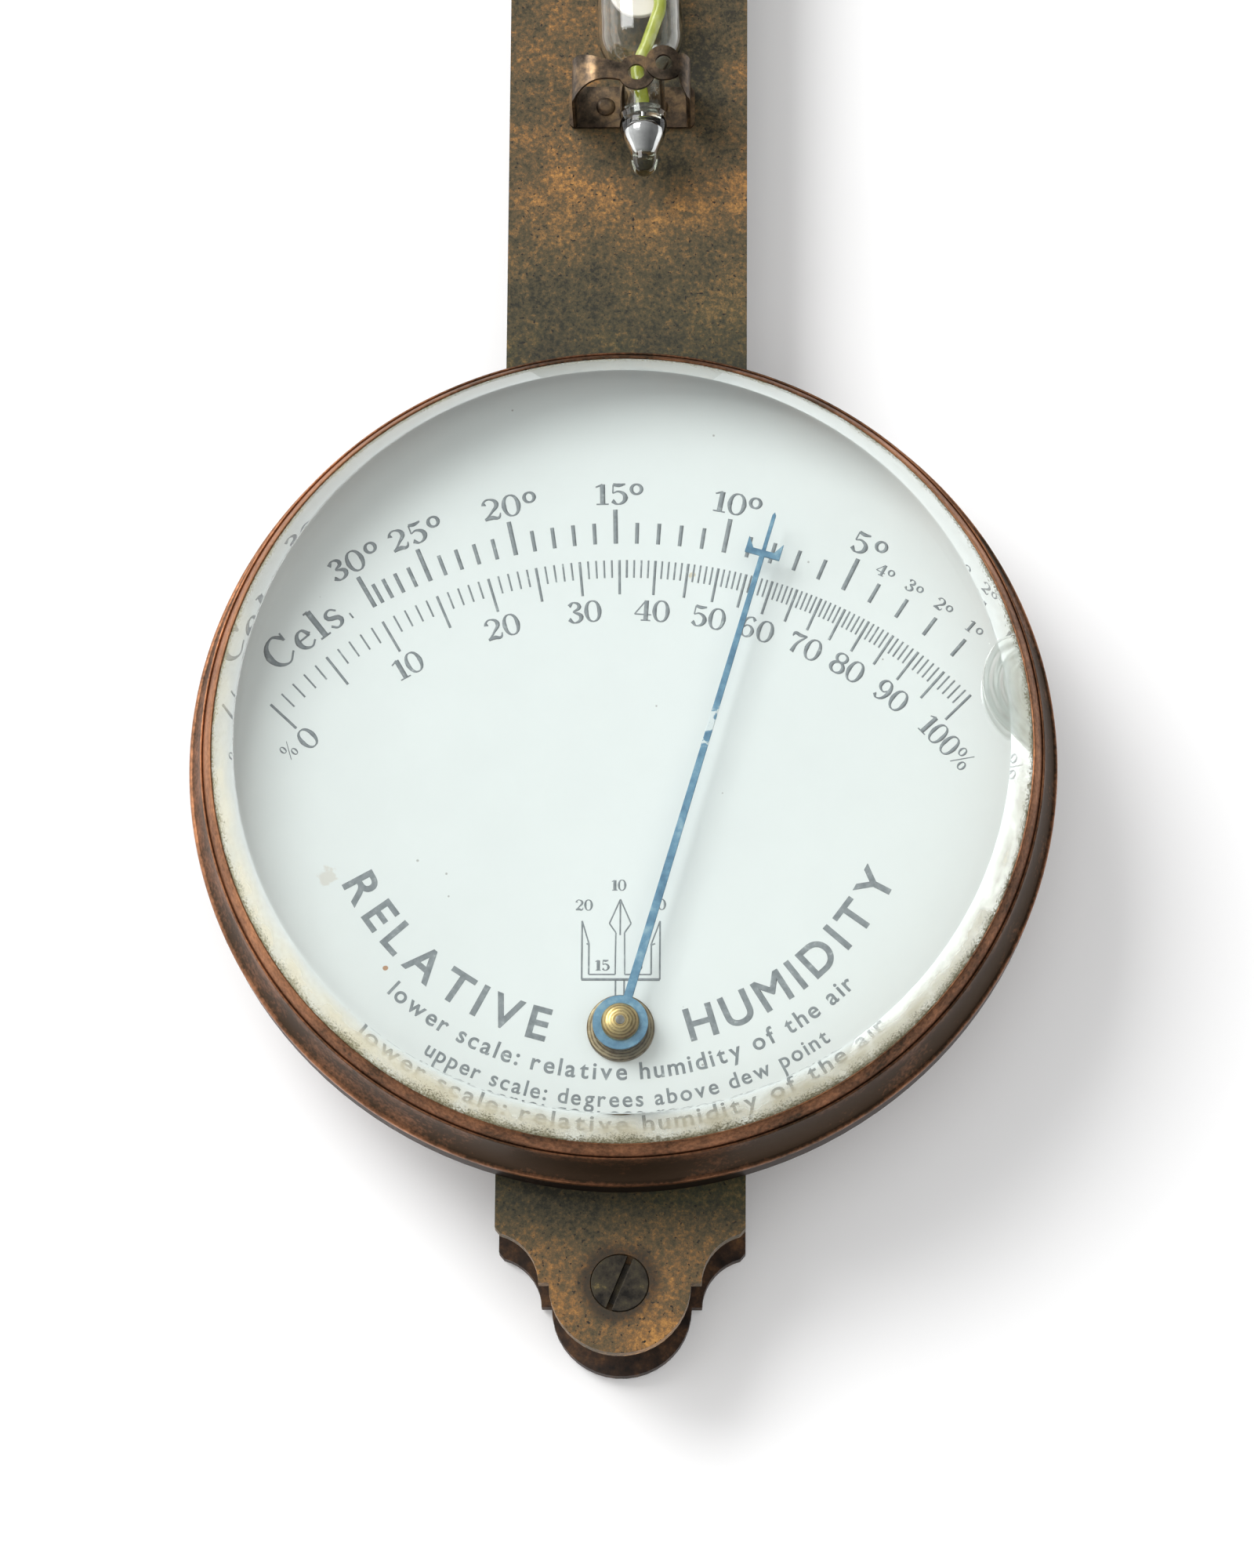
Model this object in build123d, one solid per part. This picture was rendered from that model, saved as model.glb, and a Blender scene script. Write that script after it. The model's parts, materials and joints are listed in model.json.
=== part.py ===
from build123d import *
import math
import os

# Dial hygrometer with a thermometer, for hanging on a wall.
# Two brass plates stand a finger's width apart on pillars. A bundle of hair hangs in the open gap between
# them, from a knurled adjusting nut at the top to a small pulley at the bottom, and turns the pointer of
# the round case on the front plate. A glass thermometer is clipped to the front plate above the case.
#
# Frame: millimetres, +Z up, the dial looks along -Y. The origin is the middle of the hanging hole, on the
# rear plate's back face, which lies against the wall.

# ---------------------------------------------------------------- driving dimensions
# plates
PLATE_WIDTH = 28.8
REAR_THICK = 1.6
FRONT_THICK = 1.8
HANG_TO_DIAL = 186.0        # hanging hole down to the middle of the dial
DIAL_TO_LOW_SCREW = 61.0    # middle of the dial down to the lower pillar
HANG_TO_TOP_SCREW = 13.5    # hanging hole down to the upper pillar
END_RADIUS = 8.15           # round end of each plate, about its screw
END_STEP = 1.2              # small square step beside the round end
END_OVERSHOOT = 0.95        # how far the hollow's centre lies past the plate's corner
CORNER_CHAMFER = 0.6
LUG_RADIUS = 5.2            # lug of the rear plate around the hanging hole
HANG_HOLE_R = 2.5

# pillars and their screws
PILLAR_R = 3.2
PILLAR_THREAD_R = 1.5
FRONT_HEAD_R = 3.3
FRONT_HEAD_DEPTH = 1.4
REAR_HEAD_R = 2.7
REAR_HEAD_DEPTH = 1.1
SCREW_REACH = 5.0           # how far each screw runs into its pillar
SLOT_WIDTH = 0.65
SLOT_DEPTH = 0.7
LOW_SLOT_ANGLE = -22.0      # each screw stopped where it was tight
TOP_SLOT_ANGLE = 35.0

# round case
CASE_R = 50.45
CASE_WALL = 0.6
CASE_FLOOR = 1.0
CASE_DEPTH = 3.6            # plate to the rim that the bezel stands on
SEAT_HEIGHT = 1.1           # ring that carries the dial
SEAT_WIDTH = 1.8
DIAL_THICK = 0.8
CASE_SCREW_R = 1.0
CASE_SCREW_HEAD_R = 1.9
CASE_SCREW_HEAD_H = 0.75
CASE_SCREW_X = 9.0
CASE_SCREW_Z = 27.0

# bezel, its glass and the split ring that holds the glass
BEZEL_HEIGHT = 8.0          # rim of the case to the front edge of the split ring
BEZEL_RIDGE = 0.2           # outer ridge, proud of the case wall
BEZEL_SKIRT = 0.65          # thickness of the skirt that plugs into the case
CASE_TO_GLASS = 2.45        # outside of the case to the edge of the glass
BEVEL_WIDTH = 3.2
GLASS_PROUD = 3.43          # flat of the glass in front of the split ring
GLASS_SEAT_DEPTH = 2.2      # split ring's front edge back to the glass seat
GLASS_SEAT_WIDTH = 0.85
SPLIT_RING_LAP = 0.55       # split ring over the edge of the glass
SPLIT_RING_OUTSIDE = 0.6    # split ring beyond the edge of the glass
SPLIT_GAP = 0.35
SPLIT_GAP_PLACE = 146.0     # turn of the gap about the dial's middle, from +X, clockwise

# pointer work
PIVOT_DROP = 32.3           # pivot below the middle of the dial
READING_ANGLE = 16.0        # pointer at rest, clockwise from straight up
SCALE_END = 45.0            # pointer's angle at either end of the scale
POINTER_AIR = 1.0           # needle to the bezel's inner wall at the ends of the scale
BEZEL_INNER_STEP = 0.75     # bezel's inner wall inside its skirt
POINTER_THICK = 0.35
POINTER_HUB_R = 3.2
ARM_ROOT = 1.05             # width of the arm at the hub
ARM_TIP = 0.62              # width of the arm at the fork
FORK_WIDTH = 4.2
FORK_BAR = 0.75
FORK_PRONG = 1.3
NEEDLE_WIDTH = 0.45
NEEDLE_LENGTH = 4.9
BOSS_R = 3.9
BOSS_THICK = 0.8
POINTER_STANDOFF = 2.0      # boss to the back of the pointer
CAP_R = 2.2
CAP_HEIGHT = 1.15
COLLET_R = 1.3
ARBOR_R = 0.8
ARBOR_COLLAR_R = 1.2
ARBOR_TIP_R = 0.55
REAR_PIVOT_R = 0.5
BUSH_R = 1.9
REAR_BUSH_R = 2.6
REAR_BUSH_FLANGE_R = 3.4
REAR_BUSH_FLANGE = 0.8
PULLEY_R = 2.8              # groove radius: a quarter turn takes up the stretch of the hair
PULLEY_RIM = 0.6
PULLEY_THICK = 2.4
PULLEY_HUB_R = 2.2
PULLEY_HUB_THICK = 2.3
WEIGHT_ARM_R = 0.5
WEIGHT_R = 2.6
WEIGHT_LENGTH = 4.5
WEIGHT_PAST_HAIR = 8.35     # hair to the far end of the weight

# hair and its adjuster
HAIR_R = 0.35
NUT_R = 4.5
NUT_HEIGHT = 5.0
NUT_AIR = 0.25              # nut to the back of its yoke
NUT_TEETH = 30
ROD_R = 1.5
ROD_LENGTH = 18.0
YOKE_TOP = 20.0             # top of the yoke below the hanging hole
YOKE_ARM = 1.5
YOKE_BACK = 1.0
YOKE_WIDTH = 7.0
YOKE_LUG = 4.0
CLAMP_SIZE = 4.0
CLAMP_HEIGHT = 5.0
SMALL_SCREW_R = 0.8
SMALL_HEAD_R = 1.4
SMALL_HEAD_H = 0.8

# thermometer
THERMO_X = 1.9              # axis at the lower clip
TUBE_OFF_BASE = 1.0         # jacket to the base of its clip
THERMO_LEAN = 2.0           # lower end towards +X, degrees
BULB_ABOVE_DIAL = 80.0      # middle of the dial up to the top of the bulb
THERMO_LENGTH = 92.0
JACKET_R = 5.1
JACKET_WALL = 0.6
STEM_R = 2.7                # narrow lower stretch of the jacket
STEM_LENGTH = 4.5
SHOULDER_LENGTH = 6.4
BULB_R = 2.85
BULB_LENGTH = 4.7
TIP_R = 1.55
TIP_LENGTH = 2.5
BULB_WALL = 0.35
SCALE_AIR = 0.34            # corners of the scale to the jacket
SCALE_THICK = 0.9
SCALE_START = 13.9          # top of the bulb up to the rounded end of the scale
CAPILLARY_R = 0.8
CAPILLARY_SWING = 0.6       # how far the capillary bends to the left in the stem
CAPILLARY_BULGE = 2.7       # and then to the right, past the end of the scale

# clips of bent sheet
CLIP_X = 0.45
CLIP_SIDE_AIR = 1.5         # arms to the jacket at either side, so that it may lean
CLIP_CORNER = 3.2           # bend of each arm round the tube
CLIP_AIR = 0.5              # tube to the inside of the arms
CLIP_SHEET = 0.5
CLIP_HEIGHT = 5.3
CLIP_BASE_MARGIN = 0.5      # base beyond each arm
RING_R = 2.2
RING_HOLE_R = 1.0
RING_LEFT_X = 1.15
RING_RIGHT_X = 4.4
RING_STAGGER = 1.0          # right ring above the left one
LOW_CLIP_ABOVE_DIAL = 81.7
LOW_CLIP_TUBE_R = 3.4       # radius of the jacket's shoulder where the lower clip crosses it
TOP_CLIP_ABOVE_DIAL = 154.0
RIVET_R = 0.7
RIVET_HEAD_R = 1.2
RIVET_HEAD_H = 0.45

# clearances
FIT = 0.05                  # pieces of one body that slide together
RUNNING = 0.03              # shafts in bores
FREE = 0.1                  # captured nut, and the air round a shank

# ---------------------------------------------------------------- planes, heights and radii that follow
PLATE_GAP = 2 * (NUT_R + YOKE_BACK + NUT_AIR)
END_COVE = PLATE_WIDTH / 2 - END_RADIUS - END_STEP + END_OVERSHOOT
REAR_FACE = -REAR_THICK
FRONT_BACK = REAR_FACE - PLATE_GAP
FRONT_FACE = FRONT_BACK - FRONT_THICK
GAP_MIDDLE = (REAR_FACE + FRONT_BACK) / 2
CASE_RIM = FRONT_FACE - CASE_DEPTH
DIAL_BACK = FRONT_FACE - CASE_FLOOR - SEAT_HEIGHT
DIAL_FACE = DIAL_BACK - DIAL_THICK
LIP = CASE_RIM - BEZEL_HEIGHT
BOSS_FACE = DIAL_FACE - BOSS_THICK
POINTER_BACK = BOSS_FACE - POINTER_STANDOFF
POINTER_FACE = POINTER_BACK - POINTER_THICK

DIAL_Z = -HANG_TO_DIAL
LOW_SCREW_Z = DIAL_Z - DIAL_TO_LOW_SCREW
TOP_SCREW_Z = -HANG_TO_TOP_SCREW
PIVOT_Z = DIAL_Z - PIVOT_DROP
CASE_IN_R = CASE_R - CASE_WALL
SKIRT_R = CASE_IN_R - FIT
SKIRT_IN_R = SKIRT_R - BEZEL_SKIRT
DIAL_R = SKIRT_IN_R - FIT
BEZEL_IN_R = SKIRT_IN_R - BEZEL_INNER_STEP
GLASS_R = CASE_R - CASE_TO_GLASS
GLASS_FLAT_R = GLASS_R - BEVEL_WIDTH
SPLIT_RING_IN_R = GLASS_R - SPLIT_RING_LAP
SPLIT_RING_OUT_R = GLASS_R + SPLIT_RING_OUTSIDE
HAIR_X = PULLEY_R + HAIR_R
WEIGHT_REACH = HAIR_X + WEIGHT_PAST_HAIR
YOKE_INSIDE = NUT_HEIGHT + 2 * FREE
NUT_Z = -YOKE_TOP - YOKE_LUG - YOKE_ARM - FREE - NUT_HEIGHT / 2
CLAMP_TOP = NUT_Z - ROD_LENGTH / 2
THERMO_STANDOFF = JACKET_R + CLIP_SHEET + TUBE_OFF_BASE
CLIP_HALF = JACKET_R + CLIP_SHEET + CLIP_SIDE_AIR


def pointer_length():
    """The needle passes the bezel's inner wall with its stated air when the pointer is at an end of the scale."""
    across = PIVOT_DROP * math.sin(math.radians(SCALE_END))
    along = PIVOT_DROP * math.cos(math.radians(SCALE_END))
    return along + math.sqrt((BEZEL_IN_R - POINTER_AIR) ** 2 - across ** 2)


def scale_width():
    """Widest strip that lies behind the capillary with its corners clear of the jacket."""
    reach = JACKET_R - JACKET_WALL - SCALE_AIR
    return 2 * math.sqrt(reach ** 2 - (CAPILLARY_R + SCALE_THICK) ** 2)


POINTER_LENGTH = pointer_length()
SCALE_WIDTH = scale_width()


# ---------------------------------------------------------------- helpers
def facing_plate(shape, back, thick):
    """Extrude a shape drawn as seen from the front, from the plane y=back towards the viewer."""
    return extrude(Plane.XZ.offset(-back) * shape, amount=thick)


def rod_y(radius, back, front, x=0.0, z=0.0):
    """Round bar along Y, from y=back forwards to y=front."""
    return facing_plate(Pos(x, z) * Circle(radius), back, back - front)


def turned(points, z=0.0):
    """Turned piece about an axis along Y: points are (radius, y)."""
    return Pos(0, 0, z) * revolve(make_face(Polyline(*points, close=True)), Axis.Y)


def drawn(*edges):
    return make_face(Curve() + list(edges))


def slot_cut(radius, face, angle, x, z, width=SLOT_WIDTH, depth=SLOT_DEPTH):
    """Screwdriver slot in a head whose face is at y=face, turned clockwise by angle."""
    bar = Rot(0, 0, angle) * Rectangle(width, 2 * radius + 1)
    return facing_plate(Pos(x, z) * bar, face + depth, depth + 1)


def place(solid, label):
    solid.label = label
    NODES[label] = solid


NODES = {}


# ---------------------------------------------------------------- plates
def end_edges(screw_z, way):
    """Right half of a plate's ornamental end; way is -1 at the bottom and +1 at the top."""
    half = PLATE_WIDTH / 2
    step_x = END_RADIUS + END_STEP
    cove_x = step_x + END_COVE
    shoulder = math.sqrt(END_COVE ** 2 - (cove_x - half) ** 2) + CORNER_CHAMFER
    corner_x = half - CORNER_CHAMFER
    cove_end = math.sqrt(END_COVE ** 2 - (cove_x - corner_x) ** 2)
    middle = math.radians(45)
    tip = (0, screw_z + way * END_RADIUS)
    side = (END_RADIUS, screw_z)
    step = (step_x, screw_z)
    corner = (corner_x, screw_z - way * cove_end)
    upper = (half, screw_z - way * shoulder)
    bulge = (END_RADIUS * math.sin(middle), screw_z + way * END_RADIUS * math.cos(middle))
    reach = math.acos((cove_x - corner_x) / END_COVE) / 2
    hollow = (cove_x - END_COVE * math.cos(reach), screw_z - way * END_COVE * math.sin(reach))
    edges = [
        ThreePointArc(tip, bulge, side),
        Line(side, step),
        ThreePointArc(step, hollow, corner),
        Line(corner, upper),
    ]
    return edges, upper


def plate_outline():
    low, low_end = end_edges(LOW_SCREW_Z, -1)
    top, top_end = end_edges(TOP_SCREW_Z, 1)
    right = Curve() + low + [Line(low_end, top_end)] + top
    axis = Line((0, LOW_SCREW_Z - END_RADIUS), (0, TOP_SCREW_Z + END_RADIUS))
    half = make_face(right + axis)
    return half + mirror(half, Plane.YZ)


def clip_rivet_places(base_z):
    """Rivets of a clip, side by side in its base, as (x, z)."""
    return [(CLIP_X + side * CLIP_HALF * 0.45, base_z + CLIP_HEIGHT / 2) for side in (-1, 1)]


CASE_SCREWS = [(sx * CASE_SCREW_X, DIAL_Z + sz * CASE_SCREW_Z) for sx in (-1, 1) for sz in (-1, 1)]
YOKE_SCREWS = [
    (HAIR_X, -YOKE_TOP - YOKE_LUG / 2),
    (HAIR_X, -YOKE_TOP - YOKE_LUG * 1.5 - 2 * YOKE_ARM - YOKE_INSIDE),
]
CLIPS = {
    "lower": (DIAL_Z + LOW_CLIP_ABOVE_DIAL, LOW_CLIP_TUBE_R),
    "upper": (DIAL_Z + TOP_CLIP_ABOVE_DIAL, JACKET_R),
}


def front_plate():
    plate = facing_plate(plate_outline(), FRONT_BACK, FRONT_THICK)
    for z in (LOW_SCREW_Z, TOP_SCREW_Z):
        plate -= front_screw_body(z, FREE)
    plate -= rod_y(BUSH_R, FRONT_BACK + 1, FRONT_FACE - 1, z=PIVOT_Z)
    for x, z in CASE_SCREWS:
        plate -= rod_y(CASE_SCREW_R, FRONT_BACK + 1, FRONT_FACE - 1, x, z)
    for x, z in YOKE_SCREWS:
        plate -= rod_y(SMALL_SCREW_R, FRONT_BACK + 1, FRONT_BACK - FRONT_THICK * 0.7, x, z)
    for base_z, _ in CLIPS.values():
        for x, z in clip_rivet_places(base_z):
            plate -= rod_y(RIVET_R, FRONT_BACK + 1, FRONT_FACE - 1, x, z)
    return plate


def rear_plate():
    lug_drop = HANG_TO_TOP_SCREW
    lug = Circle(LUG_RADIUS) + Pos(0, -lug_drop / 2) * Rectangle(2 * LUG_RADIUS, lug_drop)
    plate = facing_plate(plate_outline() + lug, 0, REAR_THICK)
    plate -= rod_y(HANG_HOLE_R, 1, REAR_FACE - 1)
    for z in (LOW_SCREW_Z, TOP_SCREW_Z):
        plate -= rear_screw_body(z, FREE)
    plate -= rod_y(REAR_BUSH_R, 1, REAR_FACE - 1, z=PIVOT_Z)
    return plate


# ---------------------------------------------------------------- pillars and screws
def front_screw_body(z, air=0.0):
    """Countersunk screw from the front, or the hole for it when air is given."""
    shank = PILLAR_THREAD_R + air
    head = FRONT_HEAD_R + air
    return turned([
        (0, FRONT_FACE), (head, FRONT_FACE), (head, FRONT_FACE + 0.2),
        (shank, FRONT_FACE + FRONT_HEAD_DEPTH), (shank, FRONT_BACK + SCREW_REACH), (0, FRONT_BACK + SCREW_REACH),
    ], z)


def rear_screw_body(z, air=0.0):
    shank = PILLAR_THREAD_R + air
    head = REAR_HEAD_R + air
    return turned([
        (0, 0), (head, 0), (head, -0.15),
        (shank, -REAR_HEAD_DEPTH), (shank, REAR_FACE - SCREW_REACH), (0, REAR_FACE - SCREW_REACH),
    ], z)


def front_screw(z, angle):
    return front_screw_body(z) - slot_cut(FRONT_HEAD_R, FRONT_FACE, angle, 0, z)


def rear_screw(z):
    slot = Pos(0, 0, z) * Box(2 * REAR_HEAD_R + 1, 2 * SLOT_DEPTH, SLOT_WIDTH)
    return rear_screw_body(z) - slot


def pillar(z):
    """Turned pillar with a waist, tapped right through."""
    waist = PILLAR_R - 0.5
    foot = 1.6
    post = turned([
        (0, FRONT_BACK), (PILLAR_R, FRONT_BACK), (PILLAR_R, FRONT_BACK + foot), (waist, FRONT_BACK + foot + 0.5),
        (waist, REAR_FACE - foot - 0.5), (PILLAR_R, REAR_FACE - foot), (PILLAR_R, REAR_FACE), (0, REAR_FACE),
    ], z)
    return post - rod_y(PILLAR_THREAD_R, REAR_FACE + 1, FRONT_BACK - 1, z=z)


def small_screw(x, z, face, reach, radius, head_r, head_h):
    """Cheese-head screw whose head stands on the plane y=face, towards +Y or -Y by the sign of head_h."""
    way = math.copysign(1, head_h)
    head = rod_y(head_r, max(face, face + head_h), min(face, face + head_h), x, z)
    shank = rod_y(radius, max(face, face - way * reach), min(face, face - way * reach), x, z)
    top = face + head_h
    depth = abs(head_h) / 2
    slot = Pos(x, top, z) * Box(2 * head_r + 1, 2 * depth, head_r * 0.35)
    return head + shank - slot


# ---------------------------------------------------------------- round case
def case_pan():
    floor = FRONT_FACE - CASE_FLOOR
    pan = turned([
        (0, FRONT_FACE), (CASE_R, FRONT_FACE), (CASE_R, CASE_RIM), (CASE_IN_R, CASE_RIM),
        (CASE_IN_R, floor), (0, floor),
    ], DIAL_Z)
    pan -= rod_y(BUSH_R + FREE, FRONT_FACE + 1, floor - 1, z=PIVOT_Z)
    for x, z in CASE_SCREWS:
        pan -= rod_y(CASE_SCREW_R + FREE, FRONT_FACE + 1, floor - 1, x, z)
    return pan


def dial_seat_ring():
    floor = FRONT_FACE - CASE_FLOOR
    return turned([
        (DIAL_R, floor), (DIAL_R, DIAL_BACK), (DIAL_R - SEAT_WIDTH, DIAL_BACK), (DIAL_R - SEAT_WIDTH, floor),
    ], DIAL_Z)


def dial_plate():
    dial = rod_y(DIAL_R, DIAL_BACK, DIAL_FACE, z=DIAL_Z)
    return dial - rod_y(BUSH_R + FREE, DIAL_BACK + 1, DIAL_FACE - 1, z=PIVOT_Z)


def bezel():
    """Moulded ring: a bead round the split ring, a wide cove, and a ridge that overhangs the case wall."""
    seat = LIP + GLASS_SEAT_DEPTH
    bead_in = SPLIT_RING_OUT_R + FIT
    bead_out = bead_in + 0.3
    ridge_r = CASE_R + BEZEL_RIDGE
    shoulder = DIAL_FACE - FIT
    skirt_end = FRONT_FACE - CASE_FLOOR - 2 * FREE
    ledge_in = GLASS_R - GLASS_SEAT_WIDTH
    cove_start = (bead_out, LIP + 2.15)
    cove_end = (ridge_r - 0.42, CASE_RIM - 0.85)
    section = drawn(
        Polyline((ledge_in, seat), (bead_in, seat), (bead_in, LIP + 1.8)),
        ThreePointArc((bead_in, LIP + 1.8), (bead_in + 0.15, LIP + 1.65), (bead_out, LIP + 1.8)),
        Line((bead_out, LIP + 1.8), cove_start),
        ThreePointArc(cove_start, (bead_out + 0.32, LIP + 5.0), cove_end),
        ThreePointArc(cove_end, (ridge_r - 0.08, CASE_RIM - 0.6), (ridge_r, CASE_RIM - 0.3)),
        Polyline(
            (ridge_r, CASE_RIM - 0.3), (ridge_r, CASE_RIM), (SKIRT_R, CASE_RIM), (SKIRT_R, skirt_end),
            (SKIRT_IN_R, skirt_end), (SKIRT_IN_R, shoulder), (BEZEL_IN_R, shoulder), (BEZEL_IN_R, seat + 1.2),
            (ledge_in, seat + 0.8), (ledge_in, seat),
        ),
    )
    return Pos(0, 0, DIAL_Z) * revolve(section, Axis.Y)


def dial_glass():
    """Plate glass with a steep ground bevel; its back lies on the bezel's seat."""
    bevel = GLASS_PROUD / (SPLIT_RING_IN_R - GLASS_FLAT_R)
    flat = LIP - GLASS_PROUD
    return turned([
        (0, flat), (GLASS_FLAT_R, flat), (GLASS_R, flat + bevel * (GLASS_R - GLASS_FLAT_R)),
        (GLASS_R, LIP + GLASS_SEAT_DEPTH), (0, LIP + GLASS_SEAT_DEPTH),
    ], DIAL_Z)


def glass_split_ring():
    """Sprung strip over the foot of the bevel, with a gap at its lower left where the ends meet."""
    bevel = GLASS_PROUD / (SPLIT_RING_IN_R - GLASS_FLAT_R)
    seat = LIP + GLASS_SEAT_DEPTH
    heel_in = GLASS_R + FREE
    over_glass = 0.08
    under = LIP + bevel * (heel_in - SPLIT_RING_IN_R) - over_glass
    section = make_face(Polyline(
        (SPLIT_RING_IN_R, LIP - over_glass), (SPLIT_RING_IN_R + 0.12, LIP - 0.22), (SPLIT_RING_OUT_R, LIP + 1.75),
        (SPLIT_RING_OUT_R, seat), (heel_in, seat), (heel_in, under), close=True))
    gap_angle = math.degrees(SPLIT_GAP / SPLIT_RING_OUT_R)
    ring = revolve(section, Axis.Y, revolution_arc=360 - gap_angle)
    return Pos(0, 0, DIAL_Z) * Rot(0, SPLIT_GAP_PLACE, 0) * ring


# ---------------------------------------------------------------- pointer work
def front_bush():
    back = FRONT_BACK + 0.4
    bore = ARBOR_R + RUNNING
    return turned([
        (bore, back), (BUSH_R, back), (BUSH_R, DIAL_FACE), (BOSS_R, DIAL_FACE), (BOSS_R, BOSS_FACE + 0.2),
        (BOSS_R - 0.25, BOSS_FACE), (bore, BOSS_FACE),
    ], PIVOT_Z)


def rear_bush():
    """Blind bearing for the arbor's rear pivot, flush with the rear plate's back."""
    flange = REAR_FACE - REAR_BUSH_FLANGE
    bore = REAR_PIVOT_R + RUNNING
    bore_end = -0.6
    return turned([
        (0, 0), (REAR_BUSH_R, 0), (REAR_BUSH_R, REAR_FACE), (REAR_BUSH_FLANGE_R, REAR_FACE),
        (REAR_BUSH_FLANGE_R, flange), (bore, flange), (bore, bore_end), (0, bore_end),
    ], PIVOT_Z)


def arbor():
    rear_shoulder = REAR_FACE - REAR_BUSH_FLANGE - FREE
    front_shoulder = FRONT_BACK + 0.4 + FREE
    seat = POINTER_BACK + POINTER_STANDOFF - 0.4
    end = POINTER_FACE - CAP_HEIGHT - 0.08
    return turned([
        (0, -0.6 - FREE), (REAR_PIVOT_R, -0.6 - FREE), (REAR_PIVOT_R, rear_shoulder), (ARBOR_COLLAR_R, rear_shoulder),
        (ARBOR_COLLAR_R, front_shoulder), (ARBOR_R, front_shoulder), (ARBOR_R, seat), (ARBOR_TIP_R, seat),
        (ARBOR_TIP_R, end), (0, end),
    ], PIVOT_Z)


def with_pointer(solid):
    """Turn a piece of the pointer body from straight up to its place at rest."""
    return Pos(0, 0, PIVOT_Z) * Rot(0, READING_ANGLE, 0) * solid


def pointer():
    """Blued steel hand: ring hub, tapering arm and a three-pronged fork."""
    bar_z = POINTER_LENGTH - NEEDLE_LENGTH - FORK_BAR
    hub = Circle(POINTER_HUB_R)
    root = ARM_ROOT / 2
    tip = ARM_TIP / 2
    arm = make_face(Polyline((-root, 0), (-tip, bar_z), (tip, bar_z), (root, 0), close=True))
    half = FORK_WIDTH / 2
    prong = half - 0.85
    fork = make_face(Polyline(
        (-half, bar_z), (-half, bar_z + FORK_BAR + FORK_PRONG), (-prong, bar_z + FORK_BAR), (prong, bar_z + FORK_BAR),
        (half, bar_z + FORK_BAR + FORK_PRONG), (half, bar_z), close=True))
    needle_half = NEEDLE_WIDTH / 2
    needle = make_face(Polyline(
        (-needle_half, bar_z), (-needle_half, POINTER_LENGTH - 0.4), (0, POINTER_LENGTH),
        (needle_half, POINTER_LENGTH - 0.4), (needle_half, bar_z), close=True))
    hand = hub + arm + fork + needle - Circle(ARBOR_TIP_R)
    return with_pointer(facing_plate(hand, POINTER_BACK, POINTER_THICK))


def pointer_collet():
    seat = POINTER_BACK + POINTER_STANDOFF - 0.4
    return turned([
        (ARBOR_TIP_R, seat), (COLLET_R, seat), (COLLET_R, POINTER_BACK + 0.3), (COLLET_R + 0.5, POINTER_BACK + 0.3),
        (COLLET_R + 0.5, POINTER_BACK), (ARBOR_TIP_R, POINTER_BACK),
    ], PIVOT_Z)


def pointer_cap():
    """Domed brass cap over the hub, with the arbor's end showing in its middle."""
    crown = POINTER_FACE - CAP_HEIGHT
    edge = POINTER_FACE - 0.25
    section = drawn(
        Polyline((ARBOR_TIP_R, crown), (ARBOR_TIP_R, POINTER_FACE), (CAP_R, POINTER_FACE), (CAP_R, edge)),
        ThreePointArc((CAP_R, edge), (CAP_R * 0.74, crown + 0.28), (ARBOR_TIP_R, crown)),
    )
    return Pos(0, 0, PIVOT_Z) * revolve(section, Axis.Y)


PULLEY_BACK = GAP_MIDDLE + PULLEY_THICK / 2
HUB_BACK = PULLEY_BACK + PULLEY_HUB_THICK
HUB_MIDDLE = (PULLEY_BACK + HUB_BACK) / 2


def hair_pulley():
    """Grooved pulley with a hub on its rear side, bored for the arbor, its set screw and the weight's arm."""
    front = PULLEY_BACK - PULLEY_THICK
    rim = PULLEY_R + PULLEY_RIM
    half = PULLEY_THICK / 2
    wheel = turned([
        (ARBOR_COLLAR_R, front), (rim, front), (rim, front + 0.4), (PULLEY_R - FIT, GAP_MIDDLE - HAIR_R - FIT),
        (PULLEY_R - FIT, GAP_MIDDLE + HAIR_R + FIT), (rim, GAP_MIDDLE + half - 0.4), (rim, PULLEY_BACK),
        (PULLEY_HUB_R, PULLEY_BACK), (PULLEY_HUB_R, HUB_BACK), (ARBOR_COLLAR_R, HUB_BACK),
    ])
    wheel -= Pos(0, HUB_MIDDLE, 0) * Rot(0, 90, 0) * Cylinder(WEIGHT_ARM_R, 2 * PULLEY_HUB_R + 1)
    return with_pointer(wheel)


def hub_set_screw():
    """Grub screw in the hub, opposite the weight's arm."""
    length = PULLEY_HUB_R + 0.5 - ARBOR_COLLAR_R
    middle = -(ARBOR_COLLAR_R + length / 2)
    screw = Pos(middle, HUB_MIDDLE, 0) * Rot(0, 90, 0) * Cylinder(WEIGHT_ARM_R, length)
    screw -= Pos(middle - length / 2, HUB_MIDDLE, 0) * Box(0.5, 2, 0.2)
    return with_pointer(screw)


def weight_arm():
    length = WEIGHT_REACH + 0.6 - ARBOR_COLLAR_R
    rod = Pos(ARBOR_COLLAR_R + length / 2, HUB_MIDDLE, 0) * Rot(0, 90, 0) * Cylinder(WEIGHT_ARM_R, length)
    return with_pointer(rod)


def counterweight():
    """Turned weight on its arm; it keeps the hair taut."""
    body = Rot(0, 90, 0) * Cylinder(WEIGHT_R, WEIGHT_LENGTH)
    body = chamfer(body.edges().filter_by(GeomType.CIRCLE), 0.4)
    body -= Rot(0, 90, 0) * Cylinder(WEIGHT_ARM_R, WEIGHT_LENGTH + 1)
    return with_pointer(Pos(WEIGHT_REACH - WEIGHT_LENGTH / 2, HUB_MIDDLE, 0) * body)


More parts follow.
